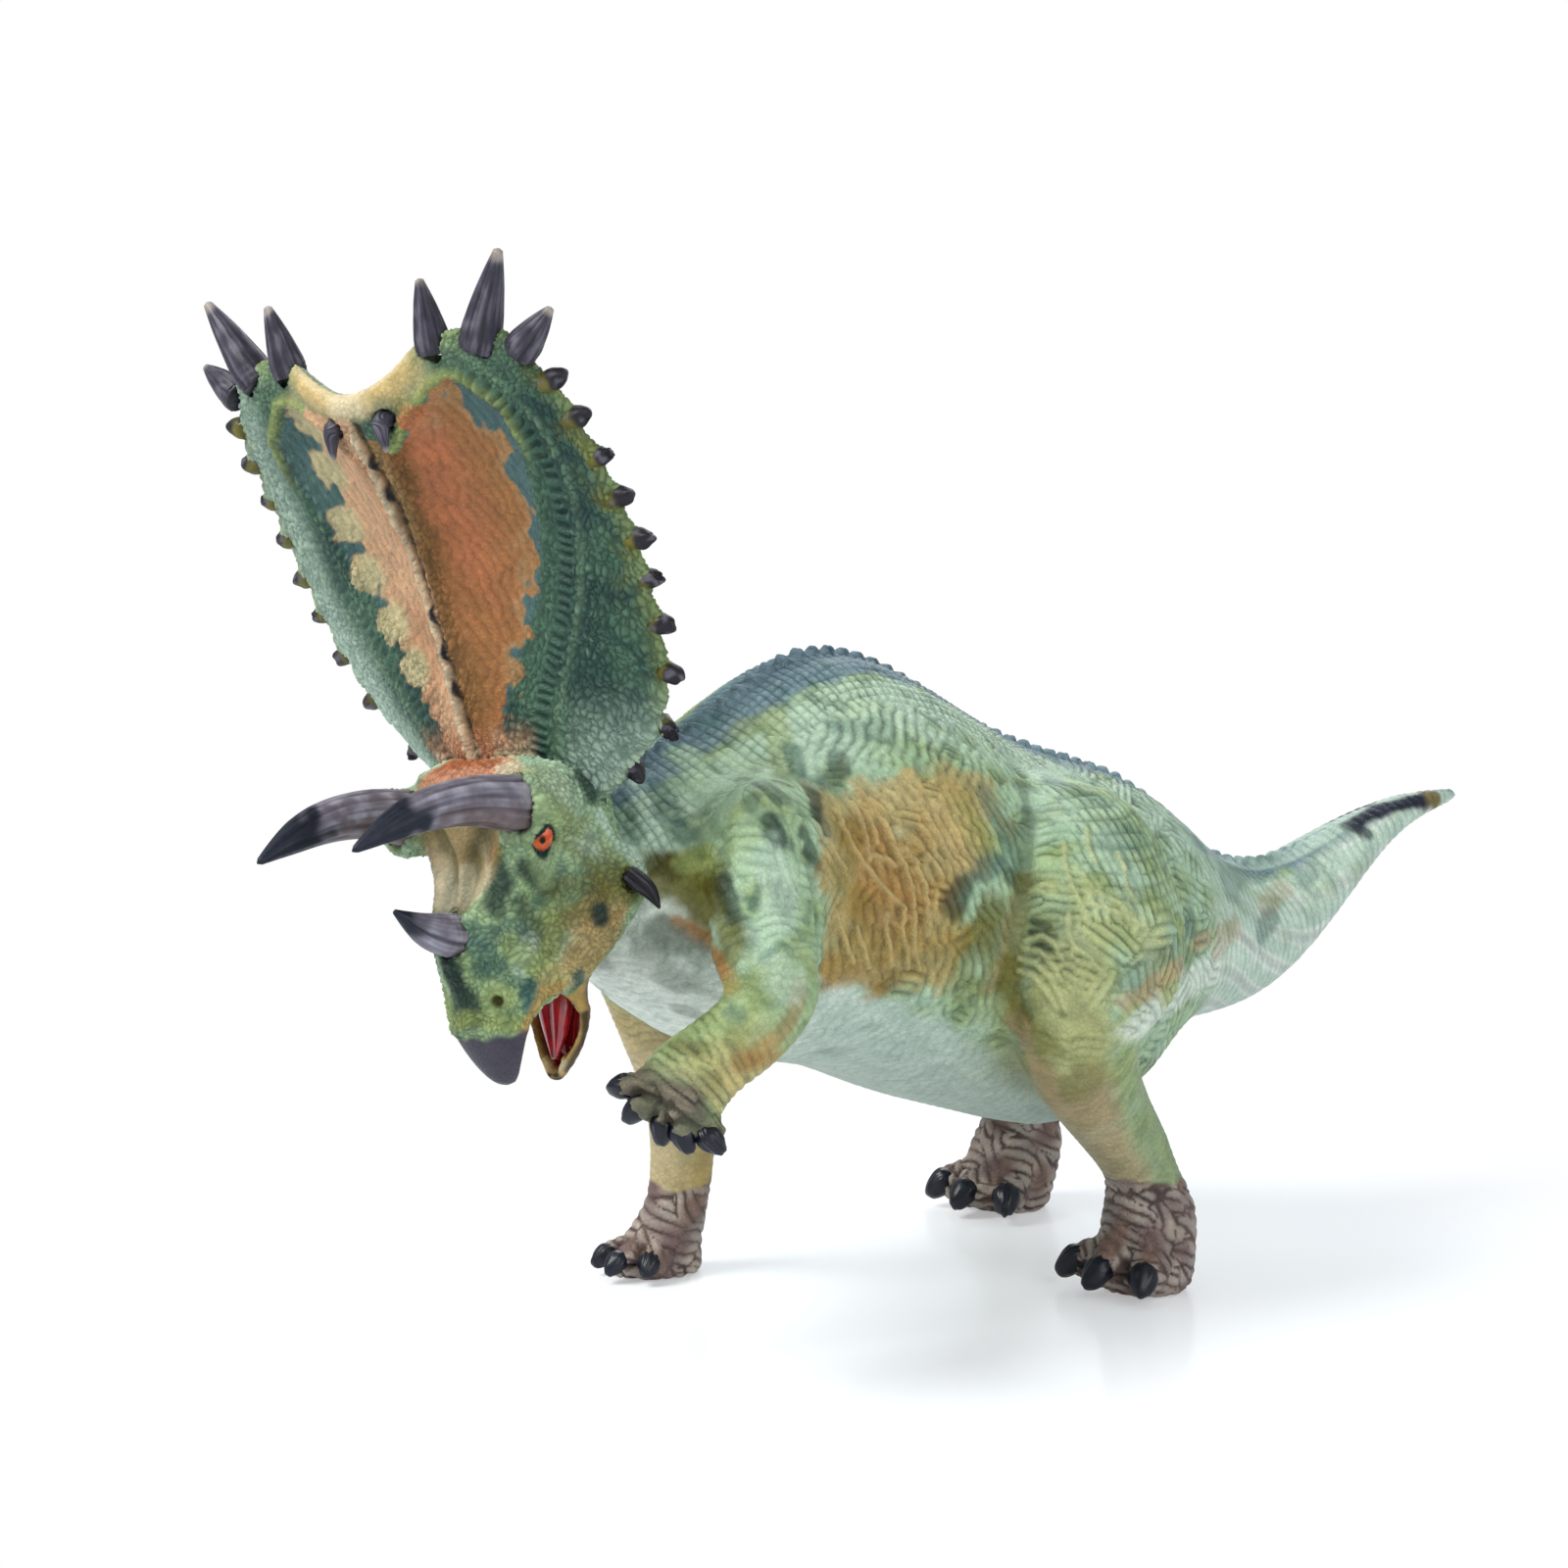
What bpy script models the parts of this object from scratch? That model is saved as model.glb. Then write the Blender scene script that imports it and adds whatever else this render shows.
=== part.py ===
"""A horned dinosaur figure, moulded in pieces that are plugged together and glued.

It stands on three feet with the left foreleg raised and the head down. Metres, +Z up, head towards -Y,
the animal's left at +X, the ground at Z = 0. The trunk is a loft through a table of cross-sections. The
limbs are lofts cut to the trunk's surface, each with a peg in a socket. The head is laid out in its own
tilted frame: X across, Y backwards and Z up from the pivot in the neck.
"""

import math

import bmesh
import bpy
import numpy as np
from mathutils import Matrix, Vector

# Fits shared by all the pieces
CLEARANCE = 0.0003
OVERRUN = 0.0040
MERGE_DISTANCE = 0.000003

# Trunk: neck, body and tail in one outline
TRUNK_FRONT = -0.0545
TRUNK_LENGTH = 0.1645
TRUNK_HEIGHT = 0.0850
TRUNK_HALF_WIDTH = 0.0290
TRUNK_WALL = 0.0030
TAIL_SEAM = 0.0560
CAVITY_FRONT = -0.0440
CAVITY_BACK = 0.0240
CAVITY_STATIONS = 9
CAVITY_POINTS = 12
TRUNK_POINTS = 14
WIDEST_LEVEL_share = 0.42
BACK_PINCH_share = 0.30
# Each row: place along the length, top, bottom, half width
TRUNK_shares = (
    (0.000, 0.812, 0.640, 0.32),
    (0.036, 0.832, 0.578, 0.47),
    (0.080, 0.858, 0.500, 0.62),
    (0.128, 0.884, 0.428, 0.76),
    (0.185, 0.956, 0.384, 0.86),
    (0.245, 1.010, 0.370, 0.93),
    (0.307, 0.992, 0.308, 0.97),
    (0.368, 0.930, 0.272, 0.97),
    (0.429, 0.860, 0.234, 0.97),
    (0.490, 0.812, 0.198, 0.92),
    (0.550, 0.780, 0.282, 0.74),
    (0.611, 0.728, 0.344, 0.58),
    (0.660, 0.645, 0.344, 0.47),
    (0.700, 0.594, 0.350, 0.39),
    (0.748, 0.572, 0.382, 0.325),
    (0.806, 0.608, 0.458, 0.265),
    (0.866, 0.640, 0.552, 0.185),
    (0.915, 0.658, 0.602, 0.118),
    (0.964, 0.660, 0.626, 0.065),
    (1.000, 0.655, 0.638, 0.028),
)

# Posts and pins that line up the two body shells
POST_RADIUS = 0.0030
PIN_RADIUS = 0.0012
PIN_LENGTH = 0.0030
POST_PLACES_shares = ((0.200, 0.66), (0.330, 0.40), (0.430, 0.70))

# Pegs of the tail and the legs
PEG_SIDES = 20
TAIL_PEG_RADIUS = 0.0042
TAIL_PEG_LENGTH = 0.0080
LEG_PEG_RADIUS = 0.0034
LEG_PEG_LENGTH = 0.0085
LEG_PEG_ROOT = 0.0025
BOSS_WALL = 0.0018
# Where each limb's peg stands, from the first row of its table to the last
HIND_PEG_share = 0.167
FORE_PEG_share = 0.182
RAISED_PEG_share = 0.111

# Legs: each row gives the place from foot to joint, then how far the limb bows forwards and
# outwards, then its half width across and fore and aft, the last four as shares of the girth
LIMB_POINTS = 10
HIND_GIRTH = 0.0115
HIND_HIP_LEVEL_share = 0.718
HIND_HIP_OUT = 0.0200
HIND_shares = (
    (1.08, -0.10, -0.55, 0.45, 0.72),
    (0.98, 0.10, 0.00, 0.70, 1.10),
    (0.86, 0.50, 0.36, 0.80, 1.34),
    (0.74, 0.86, 0.55, 0.80, 1.32),
    (0.65, 1.12, 0.58, 0.72, 1.08),
    (0.57, 1.14, 0.50, 0.62, 0.84),
    (0.49, 0.88, 0.37, 0.50, 0.62),
    (0.39, 0.47, 0.23, 0.44, 0.50),
    (0.30, 0.02, 0.08, 0.42, 0.45),
    (0.24, -0.10, 0.00, 0.42, 0.44),
    (0.17, -0.20, 0.00, 0.54, 0.62),
    (0.09, -0.06, 0.00, 0.60, 0.62),
    (-0.04, 0.00, 0.00, 0.55, 0.56),
)
HOCK_LEVEL_share = 0.30
HOCK_REACH_share = 0.28
LEFT_HIND_FOOT = (0.0215, 0.0265)
LEFT_HIP_Y = 0.0195
RIGHT_HIND_FOOT = (-0.0237, 0.0430)
RIGHT_HIP_Y = 0.0300
RIGHT_HOCK_BACK = 0.0060

FORE_GIRTH = 0.0070
FORE_HIP_LEVEL_share = 0.682
FORE_HIP_OUT = 0.0175
FORE_shares = (
    (1.10, 0.10, -0.40, 0.80, 1.10),
    (0.97, 0.00, 0.00, 1.10, 1.45),
    (0.82, -0.15, 0.18, 1.05, 1.25),
    (0.66, -0.42, 0.25, 0.86, 0.92),
    (0.54, -0.58, 0.14, 0.72, 0.80),
    (0.44, -0.78, 0.04, 0.66, 0.74),
    (0.32, -0.80, 0.04, 0.62, 0.69),
    (0.22, -0.70, 0.05, 0.60, 0.65),
    (0.15, -0.50, 0.00, 0.58, 0.63),
    (0.09, -0.25, 0.00, 0.64, 0.74),
    (0.05, 0.00, 0.00, 0.74, 0.98),
    (-0.03, 0.00, 0.00, 0.74, 1.00),
)
RIGHT_FORE_FOOT = (-0.0262, -0.0160)
RIGHT_SHOULDER_Y = -0.0270

# Raised foreleg: each row gives the place from the shoulder across, back and up as shares of the
# reach, then the half width across and along the bend as shares of the girth
RAISED_SHOULDER = (0.0195, -0.0330)
RAISED_SHOULDER_LEVEL_share = 0.782
RAISED_REACH = 0.0560
RAISED_shares = (
    (-0.080, 0.050, 0.090, 0.70, 1.20),
    (0.000, -0.010, 0.000, 1.10, 1.75),
    (0.050, -0.090, -0.140, 1.05, 1.38),
    (0.095, -0.125, -0.260, 0.92, 1.02),
    (0.130, -0.130, -0.345, 0.82, 0.90),
    (0.135, -0.200, -0.400, 0.74, 0.78),
    (0.120, -0.265, -0.440, 0.72, 0.72),
    (0.102, -0.310, -0.470, 0.80, 0.74),
    (0.094, -0.355, -0.512, 0.98, 0.80),
    (0.088, -0.395, -0.552, 0.84, 0.62),
)

# Toes: each row gives the place across and forwards from the foot's centre, as shares of the foot
TOE_SIDES = 8
# Each row: place from root to tip, radius
TOE_shares = ((0.00, 0.90), (0.45, 1.00), (0.85, 0.82), (1.00, 0.35))
TOE_ROOT_OUT_share = 0.50
TOE_ROOT_FORWARD_share = 0.33
TOE_ROOT_LEVEL_share = 1.40
TOE_TIP_LEVEL_share = 0.90
HIND_FOOT_RADIUS = 0.0072
HIND_TOE_RADIUS = 0.0029
HIND_TOES_shares = ((-1.08, -0.90), (-0.12, -1.20), (0.84, -0.92))
FORE_FOOT_RADIUS = 0.0078
FORE_TOE_RADIUS = 0.0022
FORE_TOES_shares = ((-0.62, -0.76), (-0.12, -1.12), (0.45, -0.94))
# Fingers: each row gives the tip across, back and up from the hand's centre
HAND_REACH = 0.0070
FINGER_RADIUS = 0.0023
FINGER_ROOT_share = 0.25
FINGERS_shares = (
    (-0.85, -0.72, -0.02),
    (-0.45, -0.72, -0.42),
    (0.00, -0.42, -0.74),
    (0.40, -0.22, -0.84),
    (0.75, 0.14, -0.86),
)

# Head frame
HEAD_PIVOT = (0.0, -0.0550, 0.0650)
HEAD_ROLL = math.radians(8)
HEAD_TURN = math.radians(8)

# Skull: rings square to its long axis, which runs down to the beak
SKULL_LENGTH = 0.0400
SKULL_DEPTH = 0.0240
SKULL_HALF_WIDTH = 0.0130
SKULL_TOP = 0.0110
SKULL_POINTS = 14
# Each row: place down the length, front, back, half width, widest place, how pointed the front is
SKULL_shares = (
    (0.00, -0.44, 0.16, 0.74, 0.00, 0.80),
    (0.10, -0.54, 0.26, 1.02, -0.14, 0.72),
    (0.20, -0.56, 0.31, 1.03, -0.16, 0.74),
    (0.29, -0.56, 0.31, 0.96, -0.08, 1.05),
    (0.37, -0.60, 0.31, 1.06, 0.06, 1.35),
    (0.44, -0.67, 0.33, 1.20, 0.17, 1.45),
    (0.54, -0.75, 0.27, 0.98, 0.06, 1.35),
    (0.62, -0.735, 0.23, 0.86, -0.06, 1.25),
    (0.70, -0.655, 0.17, 0.72, -0.16, 1.15),
    (0.76, -0.615, -0.28, 0.54, -0.48, 1.05),
    (0.85, -0.570, -0.350, 0.42, -0.46, 1.00),
    (0.93, -0.525, -0.355, 0.27, -0.43, 1.00),
    (1.00, -0.430, -0.345, 0.10, -0.38, 1.00),
)

# Lower jaw: it hangs from the skull at a place given down the skull's length and back from its pivot
JAW_LENGTH = 0.0190
JAW_DEPTH = 0.0052
JAW_HALF_WIDTH = 0.0062
JAW_PLACE_share = (0.54, -0.10)
JAW_POINTS = 12
# Each row: place down the length, front, back, half width
JAW_shares = (
    (0.00, -0.55, 0.85, 0.45),
    (0.20, -0.40, 0.95, 0.62),
    (0.38, -0.10, 1.08, 0.92),
    (0.55, 0.00, 1.10, 0.86),
    (0.72, 0.02, 1.00, 0.68),
    (0.86, 0.02, 0.80, 0.46),
    (0.96, 0.06, 0.46, 0.22),
    (1.00, 0.14, 0.34, 0.10),
)

# Tongue, in the open mouth between the jaws
TONGUE_LENGTH = 0.0135
TONGUE_HALF_WIDTH = 0.0034
TONGUE_DEPTH = 0.0030
TONGUE_PLACE_share = (0.60, -0.20)
TONGUE_POINTS = 10
# Each row: place down the length, front, back, half width
TONGUE_shares = (
    (0.00, -0.20, 0.70, 0.80),
    (0.30, 0.00, 0.95, 1.00),
    (0.60, 0.10, 0.95, 0.90),
    (0.85, 0.30, 0.90, 0.60),
    (1.00, 0.50, 0.85, 0.25),
)

# Frill
FRILL_BASE = 0.0010
FRILL_LENGTH = 0.0585
FRILL_HALF_WIDTH = 0.0290
FRILL_THICKNESS = 0.0036
FRILL_LEAN = 0.0180
FRILL_BASE_Y = -0.0035
FRILL_SWEEP = 0.0075
FRILL_RIDGE = 0.0022
FRILL_HOLLOW = 0.0020
FRILL_NOTCH = 0.0060
FRILL_ACROSS_POINTS = 13
NOTCH_HALF_WIDTH_share = 0.50
NOTCH_POWER = 4
RIDGE_HALF_WIDTH_share = 0.27
RIM_share = 0.45
RIM_POWER = 4
# Each row: place up the length, half width, sweep of the edges, thickness, lean
FRILL_shares = (
    (0.00, 0.30, 0.30, 1.00, 0.00),
    (0.08, 0.48, 0.80, 1.10, 0.05),
    (0.17, 0.74, 1.00, 1.05, 0.11),
    (0.28, 0.88, 0.86, 1.00, 0.19),
    (0.41, 0.96, 0.68, 1.00, 0.29),
    (0.55, 1.00, 0.52, 0.95, 0.39),
    (0.69, 0.99, 0.40, 0.95, 0.54),
    (0.82, 0.965, 0.32, 0.95, 0.74),
    (0.92, 0.92, 0.30, 1.00, 0.90),
    (1.00, 0.77, 0.27, 0.95, 1.00),
)
HOLLOW_CENTRE_share = (0.34, 0.58)
HOLLOW_SIZE_share = (0.30, 0.37)
# How much further out the hollow's middle lies for each length further up
HOLLOW_SLANT_share = 0.40
HOLLOW_EDGE_share = 0.50
STUD_RADIUS = 0.0013
STUD_HEIGHT = 0.0024
STUD_TIP_RADIUS = 0.0007
STUD_OUTSIDE_share = 0.62
STUD_SIDES = 5
STUD_PLACES_shares = (0.10, 0.175, 0.285, 0.385, 0.475, 0.555, 0.64, 0.72, 0.80, 0.875)

# Horns, spikes and hooks. Each row: place across, back and up as shares of the length, then the
# radius as a share of the thickest
BROW_HORN_LENGTH = 0.0272
BROW_HORN_RADIUS = 0.0033
BROW_HORN_PLACE_share = (0.78, -0.42, 0.172)
BROW_HORN_shares = (
    (0.000, 0.000, 0.000, 1.00),
    (-0.010, -0.130, 0.028, 1.00),
    (-0.028, -0.345, 0.062, 0.84),
    (-0.046, -0.600, 0.048, 0.74),
    (-0.060, -0.805, -0.008, 0.52),
    (-0.072, -0.985, -0.080, 0.10),
)
RIGHT_BROW_DROP = 0.0008
# The skin that stands round the root of each brow horn, from behind its start to ahead of it
BROW_BOSS_RADIUS = 0.0040
BROW_BOSS_BEHIND = 0.0040
BROW_BOSS_AHEAD = 0.0026
BROW_BOSS_SIDES = 14
NOSE_HORN_LENGTH = 0.0099
NOSE_HORN_RADIUS = 0.0026
NOSE_HORN_PLACE_share = (0.00, -0.635, 0.53)
NOSE_HORN_shares = (
    (0.0, 0.000, 0.000, 1.00),
    (0.0, -0.250, 0.050, 0.96),
    (0.0, -0.600, 0.200, 0.58),
    (0.0, -0.910, 0.410, 0.10),
)
CHEEK_HORN_LENGTH = 0.0077
CHEEK_HORN_RADIUS = 0.0015
CHEEK_HORN_PLACE_share = (1.02, 0.05, 0.41)
CHEEK_HORN_shares = (
    (0.00, 0.00, 0.00, 1.00),
    (0.27, 0.03, -0.14, 0.95),
    (0.46, 0.05, -0.33, 0.60),
    (0.57, 0.04, -0.55, 0.12),
)
SPIKE_ROOT = 0.0030
SPIKE_FLARE = 0.0012
SPIKE_ROOT_RADIUS = 0.0008
SPIKE_LENGTH = 0.0110
SPIKE_RADIUS = 0.0026
# Each row: name, place up and across the frill, direction, length beyond the rim, radius
SPIKES_shares = (
    ("inner", (0.970, 0.52), (0.08, -0.22, 0.97), 0.70, 0.82),
    ("middle", (0.970, 0.81), (0.52, -0.12, 0.85), 1.00, 0.94),
    ("outer", (0.940, 0.96), (0.80, 0.00, 0.60), 0.58, 0.81),
)
# Each row: place along the spike, radius
SPIKE_shares = ((0.00, 1.00), (0.35, 0.94), (0.72, 0.66), (1.00, 0.22))
HOOK_LENGTH = 0.0030
HOOK_RADIUS = 0.0012
HOOK_PLACE_share = (0.91, 0.15)
HOOK_shares = (
    (0.00, 0.00, 0.00, 1.00),
    (0.02, -0.75, -0.05, 1.00),
    (0.10, -0.95, -0.60, 0.75),
    (0.18, -0.80, -1.40, 0.20),
)
HORN_ORDER_POINTS = 3
HORN_CURVE_POINTS = 2
HORN_ROUND_POINTS = 2


def clear_scene():
    for obj in list(bpy.data.objects):
        bpy.data.objects.remove(obj, do_unlink=True)


def new_collection(name, hidden):
    made = bpy.data.collections.new(name)
    made.hide_render = hidden
    bpy.context.scene.collection.children.link(made)
    return made


def paint(name, colour, roughness, metallic=0.0):
    material = bpy.data.materials.new(name)
    material.use_nodes = True
    shader = material.node_tree.nodes["Principled BSDF"]
    shader.inputs["Base Color"].default_value = (*colour, 1)
    shader.inputs["Roughness"].default_value = roughness
    shader.inputs["Metallic"].default_value = metallic
    material.diffuse_color = (*colour, 1)
    return material


def add_object(name, mesh, carrier, material=None):
    """An object in the figure, or a hidden cutter when it has no material."""
    obj = bpy.data.objects.new(name, mesh)
    if material is None:
        cutters.objects.link(obj)
        obj.hide_render = True
        obj.display_type = "WIRE"
    else:
        figure.objects.link(obj)
        mesh.materials.append(material)
        mesh.shade_smooth()
    obj.parent = carrier
    return obj


def loft(name, rings):
    """A closed mesh through rings of equally many points, its two ends closed by one face each."""
    mesh = bpy.data.meshes.new(name)
    bm = bmesh.new()
    rows = [[bm.verts.new(point) for point in ring] for ring in rings]
    count = len(rows[0])
    for near, far in zip(rows, rows[1:]):
        for i in range(count):
            j = (i + 1) % count
            bm.faces.new((near[i], near[j], far[j], far[i]))
    bm.faces.new(rows[0])
    bm.faces.new(rows[-1])
    bmesh.ops.recalc_face_normals(bm, faces=bm.faces)
    bm.to_mesh(mesh)
    bm.free()
    return mesh


def smooth(obj):
    subdivision = obj.modifiers.new("smooth", "SUBSURF")
    subdivision.levels = subdivision.render_levels = 1
    return obj


def combine(obj, other, operation):
    modifier = obj.modifiers.new(other.name, "BOOLEAN")
    modifier.operation = operation
    modifier.object = other
    return obj


def cut(obj, *others):
    for other in others:
        combine(obj, other, "DIFFERENCE")


def cylinder_between(name, start, end, radius, carrier, sides=PEG_SIDES):
    """A plain round bar between two points, as a helper object."""
    start = Vector(start)
    run = Vector(end) - start
    mesh = bpy.data.meshes.new(name)
    bm = bmesh.new()
    turn = run.to_track_quat("Z", "Y").to_matrix().to_4x4()
    place = Matrix.Translation(start + run / 2) @ turn
    bmesh.ops.create_cone(
        bm, cap_ends=True, segments=sides, radius1=radius, radius2=radius, depth=run.length, matrix=place
    )
    bm.to_mesh(mesh)
    bm.free()
    return add_object(name, mesh, carrier)


def block(name, low, high, carrier):
    """A box between two corners, as a helper object."""
    low, high = Vector(low), Vector(high)
    mesh = bpy.data.meshes.new(name)
    bm = bmesh.new()
    size = Matrix.Diagonal((*(high - low), 1))
    bmesh.ops.create_cube(bm, size=1, matrix=Matrix.Translation((low + high) / 2) @ size)
    bm.to_mesh(mesh)
    bm.free()
    return add_object(name, mesh, carrier)


def trunk_section(y):
    """Top, bottom and half width of the trunk at a place along it."""
    table = np.array(TRUNK_shares)
    along = (y - TRUNK_FRONT) / TRUNK_LENGTH
    top, bottom, half = (np.interp(along, table[:, 0], table[:, i]) for i in (1, 2, 3))
    return top * TRUNK_HEIGHT, bottom * TRUNK_HEIGHT, half * TRUNK_HALF_WIDTH


def trunk_ring(y, grow, points):
    """One cross-section of the trunk, every side moved outwards by grow."""
    top, bottom, half = trunk_section(y)
    level = bottom + WIDEST_LEVEL_share * (top - bottom)
    ring = []
    for k in range(points):
        angle = 2 * math.pi * k / points
        across, rise = math.cos(angle), math.sin(angle)
        pinch = 1 - BACK_PINCH_share * max(rise, 0) ** 2
        reach = (top - level if rise > 0 else level - bottom) + grow
        ring.append(((half + grow) * across * pinch, y, level + reach * rise))
    return ring


def trunk_mesh(name, grow):
    stations = [TRUNK_FRONT + row[0] * TRUNK_LENGTH for row in TRUNK_shares]
    rings = [trunk_ring(y, grow, TRUNK_POINTS) for y in stations]
    for ring, shift in ((rings[0], -grow), (rings[-1], grow)):
        ring[:] = [(x, y + shift, z) for x, y, z in ring]
    return loft(name, rings)


def path_rings(centres, halves, count):
    """Rings round a path, square to it, with a half width across and one along."""
    centres = [Vector(point) for point in centres]
    rings = []
    for i, centre in enumerate(centres):
        ahead = centres[min(i + 1, len(centres) - 1)] - centres[max(i - 1, 0)]
        ahead.normalize()
        side = (Vector((1, 0, 0)) - ahead * ahead.x).normalized()
        front = ahead.cross(side)
        wide, deep = halves[i]
        angles = [2 * math.pi * k / count for k in range(count)]
        rings.append([centre + side * wide * math.cos(a) + front * deep * math.sin(a) for a in angles])
    return rings


def toe_rings(root, tip, radius):
    root, tip = Vector(root), Vector(tip)
    centres = [root.lerp(tip, at) for at, _ in TOE_shares]
    return path_rings(centres, [(radius * wide, radius * wide) for _, wide in TOE_shares], TOE_SIDES)


def leg_line(rows, foot, joint, height, girth, side, hock_back=0.0):
    """Centres and half widths of a standing leg, from its joint to below the ground."""
    centres, halves = [], []
    for up, forward, out, wide, deep in rows:
        hock = max(1 - abs(up - HOCK_LEVEL_share) / HOCK_REACH_share, 0)
        x = foot[0] + (joint[0] - foot[0]) * up + side * out * girth
        y = foot[1] + (joint[1] - foot[1]) * up - forward * girth + hock * hock_back
        centres.append((x, y, up * height))
        halves.append((wide * girth, deep * girth))
    return centres, halves


def trunk_side(y, z):
    """How far out the trunk's side lies at a place along it and a height."""
    top, bottom, half = trunk_section(y)
    level = bottom + WIDEST_LEVEL_share * (top - bottom)
    rise = (z - level) / (top - level if z > level else level - bottom)
    pinch = 1 - BACK_PINCH_share * max(rise, 0) ** 2
    return half * math.sqrt(max(1 - rise**2, 0)) * pinch


def build_leg(name, line, toes, peg_share, side, material):
    """A leg cut to the trunk's surface, with its toes and a peg that enters the body."""
    centres, halves = line
    leg = smooth(add_object(name, loft(name, path_rings(centres, halves, LIMB_POINTS)), root, material))
    cut(leg, trunk_grown)
    for i, (start, end, radius) in enumerate(toes):
        toe_name = f"{name}_toe_{i}"
        toe = add_object(toe_name, loft(toe_name, toe_rings(start, end, radius)), root)
        combine(leg, toe, "UNION")
    spot = peg_share * (len(centres) - 1)
    row = int(spot)
    _, y, z = Vector(centres[row]).lerp(Vector(centres[row + 1]), spot - row)
    surface = trunk_side(y, z)
    start = (side * (surface - LEG_PEG_LENGTH), y, z)
    end = (side * (surface + LEG_PEG_ROOT), y, z)
    combine(leg, cylinder_between(f"{name}_peg", start, end, LEG_PEG_RADIUS, root), "UNION")
    return leg, start, end


def standing_toes(foot, places, foot_radius, toe_radius, side):
    """Toes that start inside the foot and end on the ground in front of it."""
    toes = []
    for out, forward in places:
        ends = []
        for out_share, forward_share, level_share in (
            (TOE_ROOT_OUT_share, TOE_ROOT_FORWARD_share, TOE_ROOT_LEVEL_share), (1, 1, TOE_TIP_LEVEL_share)
        ):
            x = foot[0] + side * out * foot_radius * out_share
            y = foot[1] + forward * foot_radius * forward_share
            ends.append((x, y, toe_radius * level_share))
        toes.append((*ends, toe_radius))
    return toes


def skull_point(across, back, down):
    """A place in the head frame, given as shares of the skull's sizes."""
    return Vector((across * SKULL_HALF_WIDTH, back * SKULL_DEPTH, SKULL_TOP - down * SKULL_LENGTH))


def head_rings(rows, place, length, depth, half_width, count, grow):
    """Rings square to the head's long axis, through rows of shares.

    A row's fifth value is its widest place, and its sixth how pointed its front is.
    """
    rings = []
    for i, (down, front, back, wide, *shape) in enumerate(rows):
        middle, pointed = shape or ((front + back) / 2, 1.0)
        end = {0: grow, len(rows) - 1: -grow}.get(i, 0.0)
        ring = []
        for k in range(count):
            angle = 2 * math.pi * k / count
            across, ahead = math.sin(angle), math.cos(angle)
            if ahead > 0:
                across = math.copysign(abs(across) ** pointed, across)
                ahead = ahead**pointed
            reach = (middle - front if ahead > 0 else back - middle) * depth + grow
            x = place.x + (half_width * wide + grow) * across
            ring.append((x, place.y + middle * depth - reach * ahead, place.z - down * length + end))
        rings.append(ring)
    return rings


def skull_mesh(name, grow):
    place = skull_point(0, 0, 0)
    return loft(name, head_rings(
        SKULL_shares, place, SKULL_LENGTH, SKULL_DEPTH, SKULL_HALF_WIDTH, SKULL_POINTS, grow
    ))


def jaw_mesh(name, grow):
    down, back = JAW_PLACE_share
    place = skull_point(0, back, down)
    return loft(name, head_rings(JAW_shares, place, JAW_LENGTH, JAW_DEPTH, JAW_HALF_WIDTH, JAW_POINTS, grow))


def tongue_mesh(name, grow):
    down, back = TONGUE_PLACE_share
    place = skull_point(0, back, down)
    return loft(name, head_rings(
        TONGUE_shares, place, TONGUE_LENGTH, TONGUE_DEPTH, TONGUE_HALF_WIDTH, TONGUE_POINTS, grow
    ))


def frill_row(up):
    """Half width, sweep, thickness and lean of the frill at a place up its length."""
    table = np.array(FRILL_shares)
    half, sweep, thick, lean = (float(np.interp(up, table[:, 0], table[:, i])) for i in (1, 2, 3, 4))
    return half * FRILL_HALF_WIDTH, sweep * FRILL_SWEEP, thick * FRILL_THICKNESS, lean * FRILL_LEAN


def frill_point(up, across):
    """The middle of the frill's thickness, at a place up its length and across it from -1 to 1."""
    half, sweep, _, lean = frill_row(up)
    dip = FRILL_NOTCH * max(1 - (across / NOTCH_HALF_WIDTH_share) ** 2, 0) * up**NOTCH_POWER
    y = FRILL_BASE_Y - lean + sweep * across**2
    return Vector((half * across, y, FRILL_BASE + FRILL_LENGTH * up - dip))


def frill_relief(up, across):
    """How far the front stands proud: a ridge down the middle and a hollow on each side."""
    ridge = FRILL_RIDGE * max(1 - abs(across) / RIDGE_HALF_WIDTH_share, 0)
    (side, middle), (wide, tall) = HOLLOW_CENTRE_share, HOLLOW_SIZE_share
    side += HOLLOW_SLANT_share * (up - middle)
    inside = 1 - ((abs(across) - side) / wide) ** 2 - ((up - middle) / tall) ** 2
    return ridge - FRILL_HOLLOW * min(max(inside / HOLLOW_EDGE_share, 0), 1)


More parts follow.
